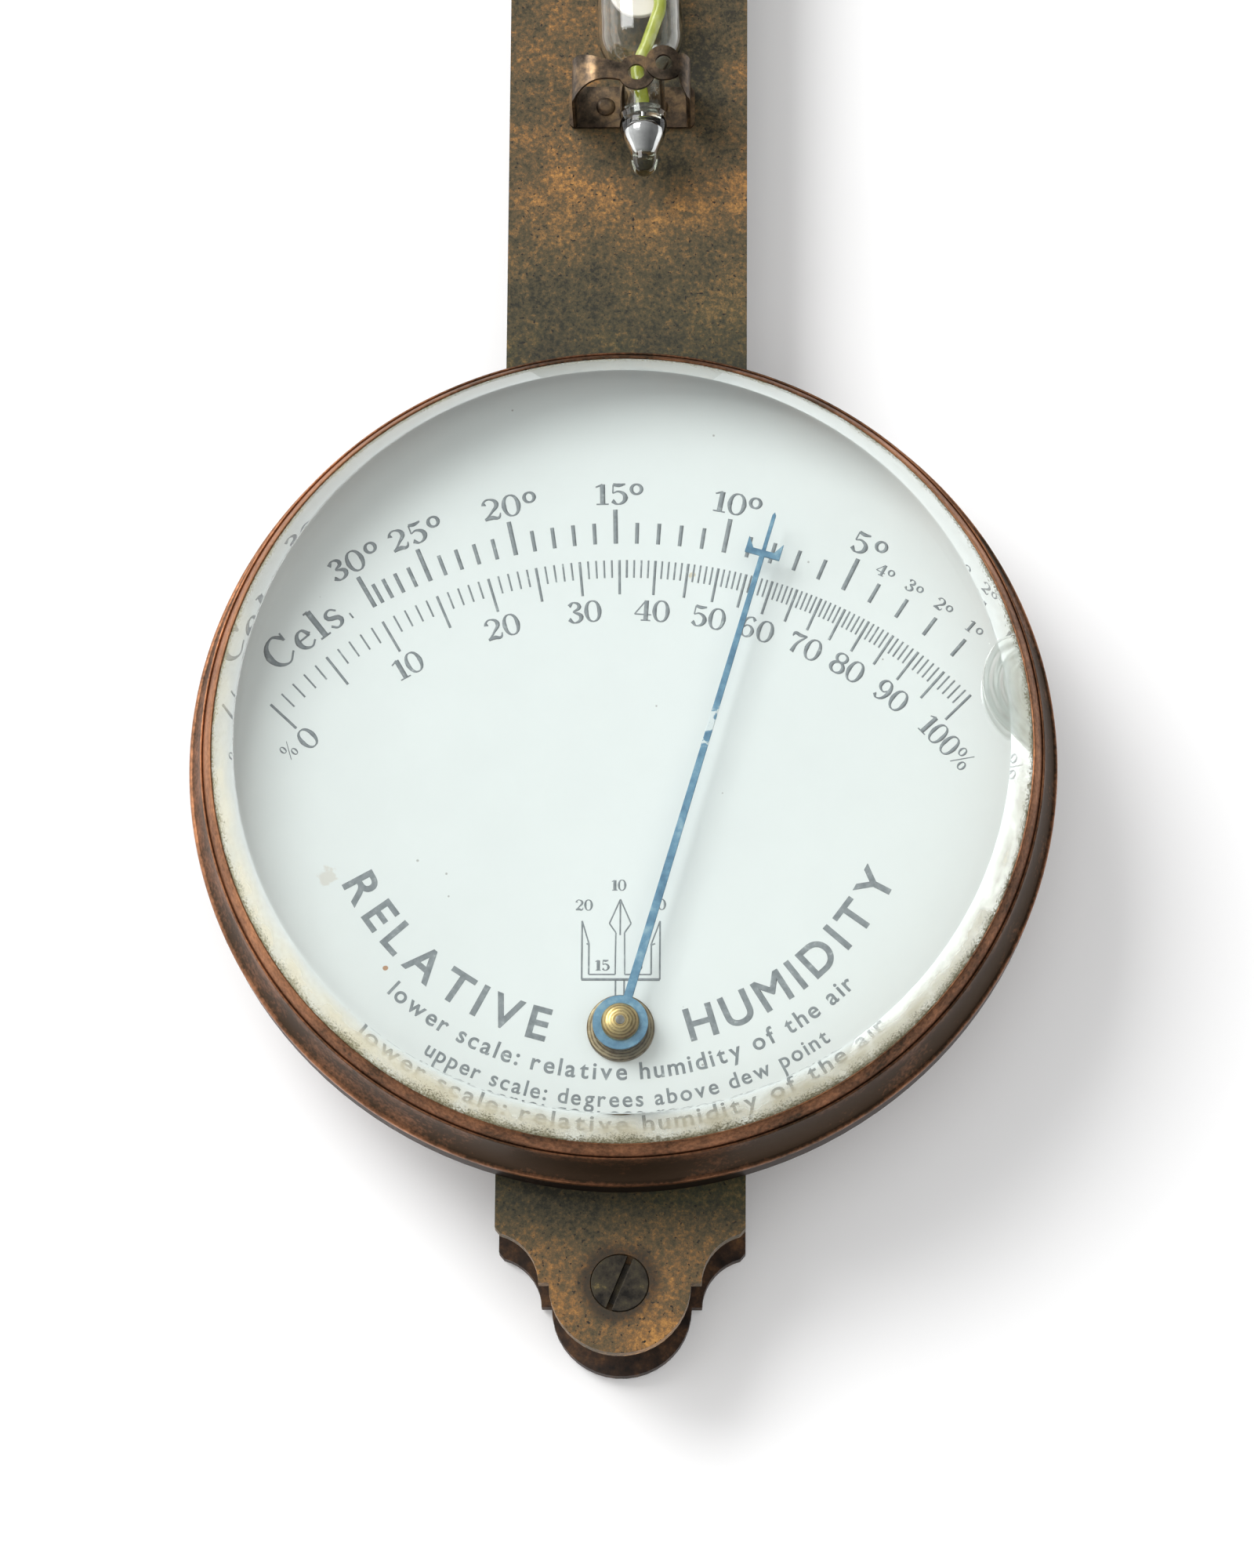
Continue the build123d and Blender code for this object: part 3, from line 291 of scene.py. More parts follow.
def patinated_brass():
    """Brass sheet under old patina: olive-brown film, gold where worn thin, green-black in dirt traps."""
    look = bpy.context.scene.hygrometer
    mat, shader, place = new_material("patinated_brass")
    height = add(mat, "SeparateXYZ", [place], out="Z")
    patches = add(mat, "TexNoise", {"Vector": place, "Scale": 75.0, "Detail": 5.0, "Roughness": 0.62})
    speckle = add(mat, "TexNoise", {"Vector": place, "Scale": 1700.0, "Detail": 6.0, "Roughness": 0.78})
    pits = add(mat, "TexNoise", {"Vector": place, "Scale": 2200.0, "Detail": 2.0, "Roughness": 0.5})
    # below the drum, handling has kept the tongue brighter
    tongue = add(mat, "MapRange", [height, -0.2385, -0.2445, 0.0, 0.1])
    top = add(mat, "MapRange", [height, -0.045, 0.0, 0.0, -0.04])
    worn = add(mat, "MapRange", [patches, 0.25, 0.75, -0.22, 0.18])
    calm = add(mat, "MapRange", [tongue, 0.0, 0.1, 0.1, 0.28])
    grain = add(mat, "Mix", {0: calm, 2: speckle, 3: 0.5}, data_type="FLOAT")
    wear = total(mat, worn, tongue, top, grain)
    film = add(mat, "ValToRGB", [wear], ramp=[
        (0.33, "#252217"), (0.43, look.film_hex), (0.53, "#604d31"), (0.61, "#846037"),
        (0.73, look.gold_hex)])
    # dirt holds moisture beside the drum, and the brass has gone green-black there
    above = add(mat, "MapRange", [height, -0.112, -0.134, 0.0, 1.0])
    below = add(mat, "MapRange", [height, -0.2435, -0.2375, 0.0, 1.0])
    broken = add(mat, "MapRange", [patches, 0.35, 0.6, 0.2, 0.9])
    near = total(mat, above, below, broken, operation="MULTIPLY")
    # painted shade: the green film is darkened further in a band right against the top of the drum
    drum_contact_shade = add(mat, "MapRange", [height, -0.128, -0.134, 0.0, -0.07])
    green = add(mat, "ValToRGB", [total(mat, wear, drum_contact_shade)], ramp=[
        (0.36, "#1f241c"), (0.5, look.green_hex), (0.7, "#6f6140")])
    colour = add(mat, "Mix", {0: near, 6: film, 7: green}, data_type="RGBA", out=2)
    spots = add(mat, "ValToRGB", [pits], ramp=[(0.3, 0.0), (0.36, 1.0)])
    colour = add(mat, "Mix", {0: spots, 6: linear("#1d1b14"), 7: colour}, data_type="RGBA", out=2)
    # old oil has stained the sheet dark round the lower screw
    screw = (0, FRONT_FACE * MM, -0.247)
    away = add(mat, "VectorMath", [place, screw], operation="DISTANCE", out="Value")
    ragged = add(mat, "MapRange", [patches, 0.3, 0.7, -0.0012, 0.0012])
    oil = add(mat, "MapRange", [total(mat, away, ragged), 0.0052, 0.0036, 0.0, 0.75])
    colour = add(mat, "Mix", {0: oil, 6: colour, 7: linear("#241c14")}, data_type="RGBA", out=2)
    feed(
        shader, Base_Color=colour,
        Metallic=add(mat, "MapRange", [wear, 0.42, 0.68, 0.1, 0.5]),
        Roughness=add(mat, "MapRange", [wear, 0.4, 0.7, 0.72, 0.5]),
        Normal=add(mat, "Bump", {"Height": speckle, "Strength": 0.45, "Distance": 0.05 * MM}),
    )
    return mat


def stained_brass():
    """The rear plate: brass painted dark red-brown as the shade it lies in, a little gold in places."""
    # tones of painted shade, darker than the front plate's brass
    stains = [(0.36, "#1c1410"), (0.52, "#38271b"), (0.64, "#593d25"), (0.76, "#8a6235")]
    return mottled("stained_brass", 420.0, 6.0, 0.72, stains, relief=0.4, Metallic=0.25, Roughness=0.62)


def worn_brass_edge():
    """The broken edge of the sheet, rubbed back to dull metal."""
    rubbed = [(0.4, "#3c3022"), (0.55, "#8d7556"), (0.7, "#b59a74")]
    return mottled("worn_brass_edge", 420.0, 3.0, 0.5, rubbed, Metallic=0.8, Roughness=0.42)


def bronzed_brass(name, ridge_hex, film_hex, dark_hex, ridge=(50.2, 50.6)):
    """Brass bronzed with a copper tone: the film is rubbed off the ridges and stays dark in the hollow;
    painted shade darkens the lower right and the top.
    """
    mat, shader, place = new_material(name, Metallic=0.85)
    centred = add(mat, "VectorMath", [place, (0, 0, -DIAL[1] * MM)])
    flat = add(mat, "VectorMath", [centred, (1, 0, 1)], operation="MULTIPLY")
    radius = add(mat, "VectorMath", [flat], operation="LENGTH", out="Value")
    clouds = add(mat, "TexNoise", {"Vector": place, "Scale": 130.0, "Detail": 4.0, "Roughness": 0.65})
    grain = add(mat, "TexNoise", {"Vector": place, "Scale": 2100.0, "Detail": 3.0, "Roughness": 0.6})
    outer = add(mat, "MapRange", [radius, ridge[0] * MM, ridge[1] * MM, 0.0, 0.4])
    inner = add(mat, "MapRange", [radius, 49.1 * MM, 48.8 * MM, 0.0, 0.36])
    mottle = add(mat, "MapRange", [clouds, 0.3, 0.7, -0.06, 0.44])
    # painted shade: the film is darker at the lower right, the side away from the light
    lower_right_shade = add(mat, "VectorMath", [centred, (-0.55, 0.0, 0.83)], operation="DOT_PRODUCT", out="Value")
    lower_right_shade = add(mat, "MapRange", [lower_right_shade, -0.05, 0.02, -0.26, 0.04])
    height = add(mat, "SeparateXYZ", [centred], out="Z")
    # painted shade: the ring is darker along its top, which faces up away from the light
    crown = add(mat, "MapRange", [height, 0.036, 0.047, 0.0, -0.34])
    fine = add(mat, "MapRange", [grain, 0.3, 0.7, -0.16, 0.16])
    # the rubbed film, with the painted shade of the lower right and the top added in
    rubbed = total(mat, total(mat, outer, inner), total(mat, mottle, lower_right_shade, crown), fine)
    ramp = [(0.08, dark_hex), (0.36, film_hex), (0.8, ridge_hex)]
    feed(
        shader, Base_Color=add(mat, "ValToRGB", [rubbed], ramp=ramp),
        Roughness=add(mat, "MapRange", [rubbed, 0.1, 0.8, 0.55, 0.34]),
        Normal=add(mat, "Bump", {"Height": grain, "Strength": 0.35, "Distance": 0.02 * MM}),
    )
    return mat


def copper_bezel():
    """Bezel and split ring: copper-red where fingers have rubbed the ridges."""
    return bronzed_brass("copper_bronzed_brass", "#b07a56", "#7a543c", "#453527")


def bronzed_case():
    """Case pan: the same bronzing, duller and greyer behind the bezel."""
    return bronzed_brass("bronzed_case_brass", "#7d6455", "#5d4a40", "#3a2f29", ridge=(50.6, 52.0))


def white_enamel():
    """White baked enamel: smooth, satin and a little cold, with dust specks and a few stains."""
    look = bpy.context.scene.hygrometer
    mat, shader, place = new_material("white_enamel", Roughness=0.42)
    cloud = add(mat, "TexNoise", {"Vector": place, "Scale": 45.0, "Detail": 4.0, "Roughness": 0.7})
    base = add(mat, "Mix", {
        0: cloud, 6: linear(look.enamel_hex), 7: linear("#d8dddc")}, data_type="RGBA", out=2)
    dust = add(mat, "TexVoronoi", {"Vector": place, "Scale": 290.0, "Randomness": 1.0}, out="Distance")
    size = add(mat, "TexNoise", {"Vector": place, "Scale": 150.0, "Detail": 1.0})
    reach = add(mat, "MapRange", [size, 0.5, 0.74, 0.0, 0.085])
    speck = add(mat, "Math", [dust, reach], operation="LESS_THAN")
    speck = add(mat, "Math", [speck, 0.55], operation="MULTIPLY")
    colour = add(mat, "Mix", {0: speck, 6: base, 7: linear("#6e6a60")}, data_type="RGBA", out=2)
    ragged = add(mat, "TexNoise", {"Vector": place, "Scale": 1400.0, "Detail": 3.0})
    for x, z, radius, strength, tint in (
        (-34.2, -200.1, 1.15, 0.32, "#b7a488"), (7.9, -163.2, 0.42, 0.5, "#b79d5b"),
        (-27.2, -211.1, 0.3, 0.9, "#a5713a"),
    ):
        middle, spread = (x * MM, DIAL_FACE * MM, z * MM), radius * MM
        away = add(mat, "VectorMath", [place, middle], operation="DISTANCE", out="Value")
        edge = add(mat, "MapRange", [ragged, 0.3, 0.7, -0.35 * spread, 0.35 * spread])
        stain = add(mat, "MapRange", [total(mat, away, edge), spread, 0.72 * spread, 0.0, strength])
        colour = add(mat, "Mix", {0: stain, 6: colour, 7: linear(tint)}, data_type="RGBA", out=2)
    feed(shader, Base_Color=colour)
    return mat


def printing_ink():
    """Grey printer's ink on enamel, thin enough that the white shows through where it has rubbed."""
    ink = bpy.context.scene.hygrometer.ink_hex
    rubbed = [(0.35, ink), (0.6, "#868d90"), (0.75, "#b8bfc0")]
    return mottled("printing_ink", 900.0, 4.0, 0.7, rubbed, Roughness=0.6)


def blued_steel():
    """Spring steel heated until it turned blue, gone soft and slightly milky with age."""
    look = bpy.context.scene.hygrometer
    mat, shader, place = new_material("blued_steel", Metallic=0.15, Roughness=0.5)
    fade = add(mat, "TexNoise", {"Vector": place, "Scale": 520.0, "Detail": 4.0, "Roughness": 0.7})
    blue = add(mat, "ValToRGB", [fade], ramp=[(0.36, "#3f6a86"), (0.54, look.blue_hex), (0.74, "#8aa9b8")])
    # half-way up, a finger's width of the colour has flaked away
    height = add(mat, "SeparateXYZ", [place], out="Z")
    away = add(mat, "Math", [total(mat, height, 0.1829)], operation="ABSOLUTE")
    band = add(mat, "MapRange", [away, 0.0018, 0.0042, 0.09, -0.12])
    flaked = add(mat, "ValToRGB", [total(mat, fade, band)], ramp=[(0.62, 0.0), (0.65, 1.0)])
    feed(shader, Base_Color=add(mat, "Mix", {
        0: flaked, 6: blue, 7: linear("#cdd5d6")}, data_type="RGBA", out=2))
    return mat


def turned_brass(name="turned_brass", light_hex="#d9bf86", dark_hex="#8f7340", centre=PIVOT, rough=0.24):
    """Brass turned on a lathe: fine rings about its axis catch the light, and the tarnish lies in them."""
    mat, shader, place = new_material(name, Metallic=1.0)
    moved = add(mat, "VectorMath", [place, (-centre[0] * MM, 0, -centre[1] * MM)])
    rings = add(
        mat, "TexWave", {"Vector": moved, "Scale": 900.0, "Distortion": 1.5, "Detail": 2.0},
        wave_type="RINGS", rings_direction="Y", out="Fac",
    )
    tarnish = add(mat, "TexNoise", {"Vector": place, "Scale": 700.0, "Detail": 4.0, "Roughness": 0.65})
    mixed = add(mat, "Mix", {0: 0.25, 2: tarnish, 3: rings}, data_type="FLOAT")
    feed(
        shader,
        Base_Color=add(mat, "ValToRGB", [mixed], ramp=[(0.35, dark_hex), (0.58, light_hex)]),
        Roughness=add(mat, "MapRange", [tarnish, 0.35, 0.7, rough + 0.2, rough]),
        Normal=add(mat, "Bump", {"Height": rings, "Strength": 0.12, "Distance": 0.01 * MM}),
    )
    return mat


def tarnished_brass():
    """The boss under the hand: turned brass that fingers don't reach, gone grey-brown."""
    return turned_brass("tarnished_brass", "#a8987a", "#6a5940", rough=0.38)


def aged_brass():
    """Pillars and movement: turned brass gone brown between the plates."""
    return turned_brass("aged_brass", "#9c7c4a", "#5b4528", centre=(0.0, 0.0), rough=0.36)


def dark_screw():
    """Steel screw heads gone grey-black, with green-gold crust caught beside the slot."""
    crust = [(0.35, "#1b1916"), (0.5, "#37322a"), (0.62, "#494334"), (0.72, "#85744a")]
    return mottled("dark_screw_steel", 480.0, 5.0, 0.7, crust, rough=(0.38, 0.7), relief=0.4, Metallic=0.7)


def clip_sheet():
    """Thin sheet brass bent by hand: brown film, scraped bright along its bends."""
    scraped = [(0.36, "#2c261e"), (0.5, "#54473a"), (0.62, "#7d664b"), (0.76, "#a98963")]
    return mottled("bent_sheet_brass", 330.0, 5.0, 0.7, scraped, rough=(0.5, 0.3), Metallic=0.8)


def turned_steel():
    """Bright steel of the arbor, rod and small screws, with a grey bloom."""
    bloom = [(0.4, "#6f6c68"), (0.6, "#a9a7a2")]
    return mottled("turned_steel", 800.0, 4.0, 0.5, bloom, rough=(0.42, 0.6), Metallic=1.0)


def human_hair():
    """A flat bundle of degreased human hair, pale straw with darker strands along it."""
    mat, shader, place = new_material("human_hair", Roughness=0.5)
    drawn_out = add(mat, "Mapping", {"Vector": place, "Scale": (9000.0, 9000.0, 60.0)})
    strands = add(mat, "TexNoise", {"Vector": drawn_out, "Scale": 1.0, "Detail": 2.0})
    feed(
        shader,
        Base_Color=add(mat, "ValToRGB", [strands], ramp=[(0.35, "#6d5433"), (0.65, "#d2b684")]),
        Normal=add(mat, "Bump", {"Height": strands, "Strength": 0.6, "Distance": 0.04 * MM}),
    )
    return mat


def plate_glass():
    """Old plate glass, ground and polished to a bevel; the cut edge is faintly green."""
    mat, shader, place = new_material("plate_glass", IOR=1.52, Transmission_Weight=1.0)
    # a shell-shaped chip at the right edge, rippled and dulled
    flat = add(mat, "VectorMath", [place, (1, 0, 1)], operation="MULTIPLY")
    shell = (49.2 * MM, 0, -179.5 * MM)
    away = add(mat, "VectorMath", [flat, shell], operation="DISTANCE", out="Value")
    chip = add(mat, "MapRange", [away, 7.7 * MM, 7.4 * MM, 0.0, 1.0])
    ripple = add(mat, "Math", [away, 5200.0], operation="MULTIPLY")
    ripple = add(mat, "Math", [ripple], operation="SINE")
    ripple = add(mat, "Math", [ripple, chip], operation="MULTIPLY")
    feed(
        shader,
        Base_Color=add(mat, "Mix", {
            0: chip, 6: linear("#f6fbf9"), 7: linear("#c3cbc5")}, data_type="RGBA", out=2),
        Roughness=add(mat, "Math", [chip, 0.3], operation="MULTIPLY"),
        Normal=add(mat, "Bump", {"Height": ripple, "Strength": 0.7, "Distance": 0.1 * MM}),
    )
    return mat


def blown_glass():
    """Thin blown tube: clear, with the slight waviness of lamp work."""
    mat, shader, place = new_material("blown_glass", Roughness=0.02, IOR=1.5, Transmission_Weight=1.0)
    waves = add(mat, "TexNoise", {"Vector": place, "Scale": 260.0, "Detail": 1.0})
    # the drawn-out tip is thick and grey-green with soot from the flame
    height = add(mat, "SeparateXYZ", [place], out="Z")
    tip = add(mat, "MapRange", [height, -0.1102, -0.1112, 0.0, 1.0])
    feed(
        shader,
        Base_Color=add(mat, "Mix", {
            0: tip, 6: linear("#f7faf7"), 7: linear("#959c86")}, data_type="RGBA", out=2),
        Normal=add(mat, "Bump", {"Height": waves, "Strength": 0.25, "Distance": 0.3 * MM}),
    )
    return mat


def edge_grime():
    """Wax and dust crept in round the glass: a cream haze at the bottom, olive crumbs by the ring."""
    mat, shader, place = new_material("edge_grime", Roughness=0.9)
    centred = add(mat, "VectorMath", [place, (0, 0, -DIAL[1] * MM)])
    height = add(mat, "SeparateXYZ", [centred], out="Z")
    flat = add(mat, "VectorMath", [centred, (1, 0, 1)], operation="MULTIPLY")
    radius = add(mat, "VectorMath", [flat], operation="LENGTH", out="Value")
    crumbs = add(mat, "TexNoise", {"Vector": place, "Scale": 4200.0, "Detail": 5.0, "Roughness": 0.8})
    clumps = add(mat, "TexNoise", {"Vector": place, "Scale": 300.0, "Detail": 4.0})
    low = add(mat, "MapRange", [height, 0.035, -0.046, 0.0, 0.1])
    near = add(mat, "MapRange", [radius, 46.2 * MM, 47.4 * MM, -0.2, 0.08])
    cover = add(mat, "MapRange", [clumps, 0.3, 0.7, -0.06, 0.06])
    dirt = add(mat, "ValToRGB", [total(mat, cover, low, near, crumbs)], ramp=[(0.52, 0.0), (0.66, 0.9)])
    haze = add(mat, "MapRange", [height, 0.02, -0.04, 0.04, 0.7])
    fade = add(mat, "MapRange", [radius, GRIME_R * MM, 46.3 * MM, 0.0, 1.0])
    patchy = add(mat, "MapRange", [clumps, 0.35, 0.6, 0.45, 1.0])
    haze = total(mat, haze, fade, patchy, operation="MULTIPLY")
    olive = add(mat, "ValToRGB", [crumbs], ramp=[(0.4, "#a19b78"), (0.54, "#6b6644"), (0.66, "#2c291b")])
    feed(
        shader,
        Base_Color=add(mat, "Mix", {0: dirt, 6: linear("#d3cdb4"), 7: olive}, data_type="RGBA", out=2),
        Alpha=add(mat, "Math", [dirt, haze], operation="MAXIMUM"),
    )
    return mat


def opal_glass():
    """Milk-white opal glass strip of the thermometer's scale."""
    return mottled(
        "opal_glass", 160.0, 3.0, 0.5, [(0.35, "#d6cfc5"), (0.65, "#e3ddd5")], Roughness=0.22, IOR=1.5,
        Subsurface_Weight=0.25, Subsurface_Radius=(0.0012, 0.001, 0.0009),
    )


def yellow_glass():
    """Capillary glass with a yellow-green stripe down its back, as thermometer tube is drawn."""
    streaks = [(0.35, "#a3ac3c"), (0.58, "#c0c662"), (0.72, "#dcdfa6")]
    return mottled(
        "yellow_capillary_glass", 420.0, 2.0, 0.5, streaks, Roughness=0.12, IOR=1.5, Transmission_Weight=0.25)


def quicksilver():
    """Mercury: a liquid mirror behind its glass."""
    return mottled(
        "quicksilver", 600.0, 2.0, 0.5, [(0.4, "#dcdcde"), (0.65, "#f1f1f2")], Metallic=1.0, Roughness=0.03)


BUILDERS = {maker.__name__: maker for maker in (
    patinated_brass, stained_brass, worn_brass_edge, copper_bezel, bronzed_case, white_enamel, printing_ink,
    blued_steel, turned_brass, tarnished_brass, aged_brass, dark_screw, clip_sheet, turned_steel, human_hair,
    plate_glass, blown_glass, edge_grime, opal_glass, yellow_glass, quicksilver,
)}
MADE = {}


def finish_of(name):
    """The material of that name, made the first time it is asked for."""
    if name not in MADE:
        MADE[name] = BUILDERS[name]()
    return MADE[name]


# ---------------------------------------------------------------- dial lettering
# Engraver's numerals with thick and thin strokes. A point is (across, up, width) in numeral heights.
GLYPHS = {
    "0": (0.62, [[(0.3, 0.0, 0.05), (0.52, 0.5, 0.16), (0.3, 1.0, 0.05), (0.08, 0.5, 0.16), None]]),
    "1": (0.46, [[(0.27, 0.03, 0.17), (0.27, 0.97, 0.17)], [(0.27, 0.97, 0.07), (0.06, 0.84, 0.05)],
                 [(0.08, 0.02, 0.05), (0.45, 0.02, 0.05)]]),
    "2": (0.62, [[(0.1, 0.74, 0.17), (0.12, 0.9, 0.07), (0.3, 0.99, 0.05), (0.49, 0.74, 0.16),
                  (0.3, 0.36, 0.08), (0.06, 0.04, 0.05)], [(0.06, 0.06, 0.1), (0.28, 0.1, 0.15),
                  (0.48, 0.05, 0.09), (0.56, 0.26, 0.04)]]),
    "3": (0.6, [[(0.12, 0.82, 0.15), (0.28, 0.99, 0.05), (0.46, 0.77, 0.15), (0.24, 0.54, 0.05)],
                [(0.24, 0.54, 0.05), (0.5, 0.27, 0.17), (0.27, 0.01, 0.05), (0.09, 0.2, 0.15)]]),
    "4": (0.62, [[(0.42, 0.02, 0.16), (0.42, 0.98, 0.16)], [(0.4, 0.98, 0.05), (0.04, 0.3, 0.05)],
                 [(0.04, 0.3, 0.05), (0.6, 0.3, 0.05)], [(0.26, 0.02, 0.05), (0.58, 0.02, 0.05)]]),
    "5": (0.6, [[(0.13, 0.96, 0.1), (0.3, 0.92, 0.13), (0.5, 0.97, 0.06)], [(0.13, 0.96, 0.05),
                 (0.12, 0.54, 0.05)], [(0.12, 0.54, 0.04), (0.3, 0.62, 0.07), (0.5, 0.32, 0.17),
                 (0.28, 0.01, 0.05), (0.1, 0.18, 0.15)]]),
    "6": (0.62, [[(0.5, 0.84, 0.13), (0.36, 0.99, 0.05), (0.12, 0.45, 0.17), (0.3, 0.01, 0.05),
                  (0.5, 0.3, 0.15), (0.32, 0.57, 0.05), (0.16, 0.42, 0.06)]]),
    "7": (0.58, [[(0.07, 0.76, 0.04), (0.1, 0.93, 0.12), (0.3, 0.92, 0.13), (0.53, 0.97, 0.06)],
                 [(0.53, 0.97, 0.05), (0.3, 0.5, 0.1), (0.24, 0.04, 0.16)]]),
    "8": (0.6, [[(0.3, 0.99, 0.05), (0.12, 0.77, 0.12), (0.3, 0.54, 0.08), (0.48, 0.77, 0.12), None],
                [(0.3, 0.54, 0.07), (0.09, 0.26, 0.16), (0.3, 0.01, 0.05), (0.51, 0.26, 0.16), None]]),
    "9": (0.62, [[(0.12, 0.16, 0.13), (0.26, 0.01, 0.05), (0.5, 0.55, 0.17), (0.32, 0.99, 0.05),
                  (0.12, 0.7, 0.15), (0.3, 0.43, 0.05), (0.46, 0.58, 0.06)]]),
    "o": (0.44, [[(0.22, 0.32, 0.05), (0.38, 0.5, 0.1), (0.22, 0.68, 0.05), (0.06, 0.5, 0.1), None]]),
    "%": (0.8, [[(0.2, 0.52, 0.04), (0.31, 0.72, 0.09), (0.2, 0.92, 0.04), (0.09, 0.72, 0.09), None],
                [(0.56, 0.02, 0.04), (0.67, 0.22, 0.09), (0.56, 0.42, 0.04), (0.45, 0.22, 0.09), None],
                [(0.14, 0.0, 0.04), (0.64, 0.96, 0.04)]]),
    "C": (0.72, [[(0.62, 0.72, 0.07), (0.56, 0.86, 0.1), (0.38, 0.99, 0.05), (0.11, 0.5, 0.18),
                  (0.38, 0.01, 0.05), (0.64, 0.26, 0.05)], [(0.62, 0.7, 0.05), (0.62, 0.98, 0.05)]]),
    "e": (0.52, [[(0.12, 0.36, 0.05), (0.42, 0.38, 0.05)], [(0.42, 0.38, 0.12), (0.28, 0.64, 0.05),
                  (0.1, 0.32, 0.15), (0.28, 0.01, 0.05), (0.45, 0.14, 0.05)]]),
    "l": (0.32, [[(0.16, 0.02, 0.15), (0.16, 1.0, 0.15)], [(0.03, 0.02, 0.05), (0.29, 0.02, 0.05)],
                 [(0.04, 1.0, 0.05), (0.16, 1.0, 0.06)]]),
    "s": (0.44, [[(0.36, 0.5, 0.05), (0.22, 0.64, 0.05), (0.09, 0.49, 0.11), (0.34, 0.19, 0.13),
                  (0.2, 0.01, 0.05), (0.06, 0.16, 0.07)]]),
    ".": (0.26, [[(0.1, 0.07, 0.16), (0.14, 0.07, 0.16)]]),
}


def humidity_angle(percent):
    """Pointer angle for a relative humidity: hair stretches fast when dry, and ever less as it is soaked."""
    p = percent / 100
    return -46.6 + 182.6 * p - 179.3 * p ** 2 + 88.1 * p ** 3


def dew_angle(step):
    """Pointer angle for the degrees between air temperature and dew point."""
    return 44.3 - 4.489 * step + 0.1713 * step ** 2 - 0.00647 * step ** 3 + 0.0001 * step ** 4


def lettered(text, x, z, height, turn, stretch=1.0, bold=1.0):
    """Strokes of a word centred at (x, z) in millimetres and turned clockwise by some degrees."""
    cos, sin = math.cos(math.radians(turn)), math.sin(math.radians(turn))
    strokes, at = [], -sum(GLYPHS[c][0] for c in text) * stretch / 2
    for c in text:
        advance, lines = GLYPHS[c]
        for points in lines:
            stroke = []
            for p in points:
                if p is None:
                    stroke.append(None)
                    continue
                across, up = (at + p[0] * stretch) * height, (p[1] - 0.5) * height
                width = p[2] * height * bold
                stroke.append((x + across * cos + up * sin, z - across * sin + up * cos, width))
            strokes.append(stroke)
        at += advance * stretch
    return strokes


def on_arc(angle, radius, centre):
    """A place on an arc; the angle goes clockwise from straight up."""
    a = math.radians(angle)
    return centre[0] + radius * math.sin(a), centre[1] + radius * math.cos(a)


def scale_marks():
    """Ticks of both scales. Their arcs share a middle just below the pivot, as on the engraver's plate."""
    strokes = []
    for percent in range(101):
        main = percent % 5 == 0
        wide = 0.36 if main else 0.25
        ends = (52.95 if main else 55.0, 57.2)
        strokes.append([(*on_arc(humidity_angle(percent), r, SCALES), wide) for r in ends])
    for step in range(1, 31):
        main = step % 5 == 0
        wide = 0.62 if main else 0.52
        ends = (59.25, 63.5 if main else 61.85)
        strokes.append([(*on_arc(dew_angle(step), r, SCALES), wide) for r in ends])
    return strokes


def scale_numbers():
    """Figures of both scales. A degree sign stands to the right of its number."""
    strokes = []
    for percent in range(10, 100, 10):
        angle = humidity_angle(percent) + (0.7 if percent > 60 else 0.0)
        strokes += lettered(str(percent), *on_arc(angle, 51.0, SCALES), 2.55, angle, stretch=1.38, bold=1.5)
    strokes += lettered("%", -39.0, DIAL[1] + 1.2, 2.1, -46, stretch=1.1, bold=1.3)
    strokes += lettered("0", -36.8, DIAL[1] + 2.7, 2.55, -46, stretch=1.38, bold=1.5)
    strokes += lettered("100%", *on_arc(47.2, 51.1, SCALES), 2.55, 47, stretch=1.22, bold=1.4)
    for step in (30, 25, 20, 15, 10, 5):
        angle = dew_angle(step)
        back, sign = (0.4, 2.6) if step > 15 else (0.4, 2.2) if step > 5 else (0.5, 1.6)
        strokes += lettered(
            str(step), *on_arc(angle - back, 65.45, SCALES), 2.6, angle, stretch=1.5, bold=1.6)
        strokes += lettered("o", *on_arc(angle + sign, 66.05, SCALES), 3.4, angle, stretch=1.1, bold=1.6)
    for step in (4, 3, 2, 1):
        angle = dew_angle(step)
        strokes += lettered(
            str(step), *on_arc(angle - 0.55, 63.55, SCALES), 1.45, angle, stretch=1.4, bold=1.7)
        strokes += lettered("o", *on_arc(angle + 0.55, 63.7, SCALES), 1.9, angle, stretch=1.1, bold=1.6)
    strokes += lettered("Cels.", -37.2, DIAL[1] + 15.8, 3.8, -38, stretch=1.41, bold=1.45)
    return strokes


def trident():
    """Small key to the three prongs of the hand: degrees to add at each."""
    x, z = -0.15, DIAL[1] - 0.9
    bar, top, low = z - 25.5, z - 18.5, z - 28.3
    thin, thick = 0.2, 0.36
    strokes = [[(x - 4.45, bar, thick), (x + 4.6, bar, thick)]]
    for side in (-1, 1):
        out = 4.4 if side < 0 else 4.6
        strokes += [
            [(x + side * px, pz, thin), (x + side * qx, qz, thin)] for px, pz, qx, qz in (
                (out, bar, out, top), (out, top, 3.55, z - 21.4), (3.55, z - 21.4, out * 0.88, z - 21.2),
                (3.6, z - 21.4, 3.6, bar + 0.6), (3.6, bar + 0.6, 0.55, bar + 0.6),
                (0.55, bar + 0.6, 0.5, z - 19.9),
                (0.5, z - 19.9, 1.25, z - 18.8), (1.25, z - 18.8, 0, z - 15.9), (0.5, bar, 0.5, low),
            )
        ]
    strokes.append([(x, z - 16.2, thin), (x, z - 20.2, 0.18)])
    for text, tx, tz in (
        ("20", -4.2, -16.6), ("10", -0.2, -14.2), ("0", 4.8, -16.5), ("15", -2.05, -23.8), ("5", 2.1, -23.8),
    ):
        strokes += lettered(text, x + tx, z + tz, 1.25, 0, stretch=1.35, bold=1.7)
    return strokes


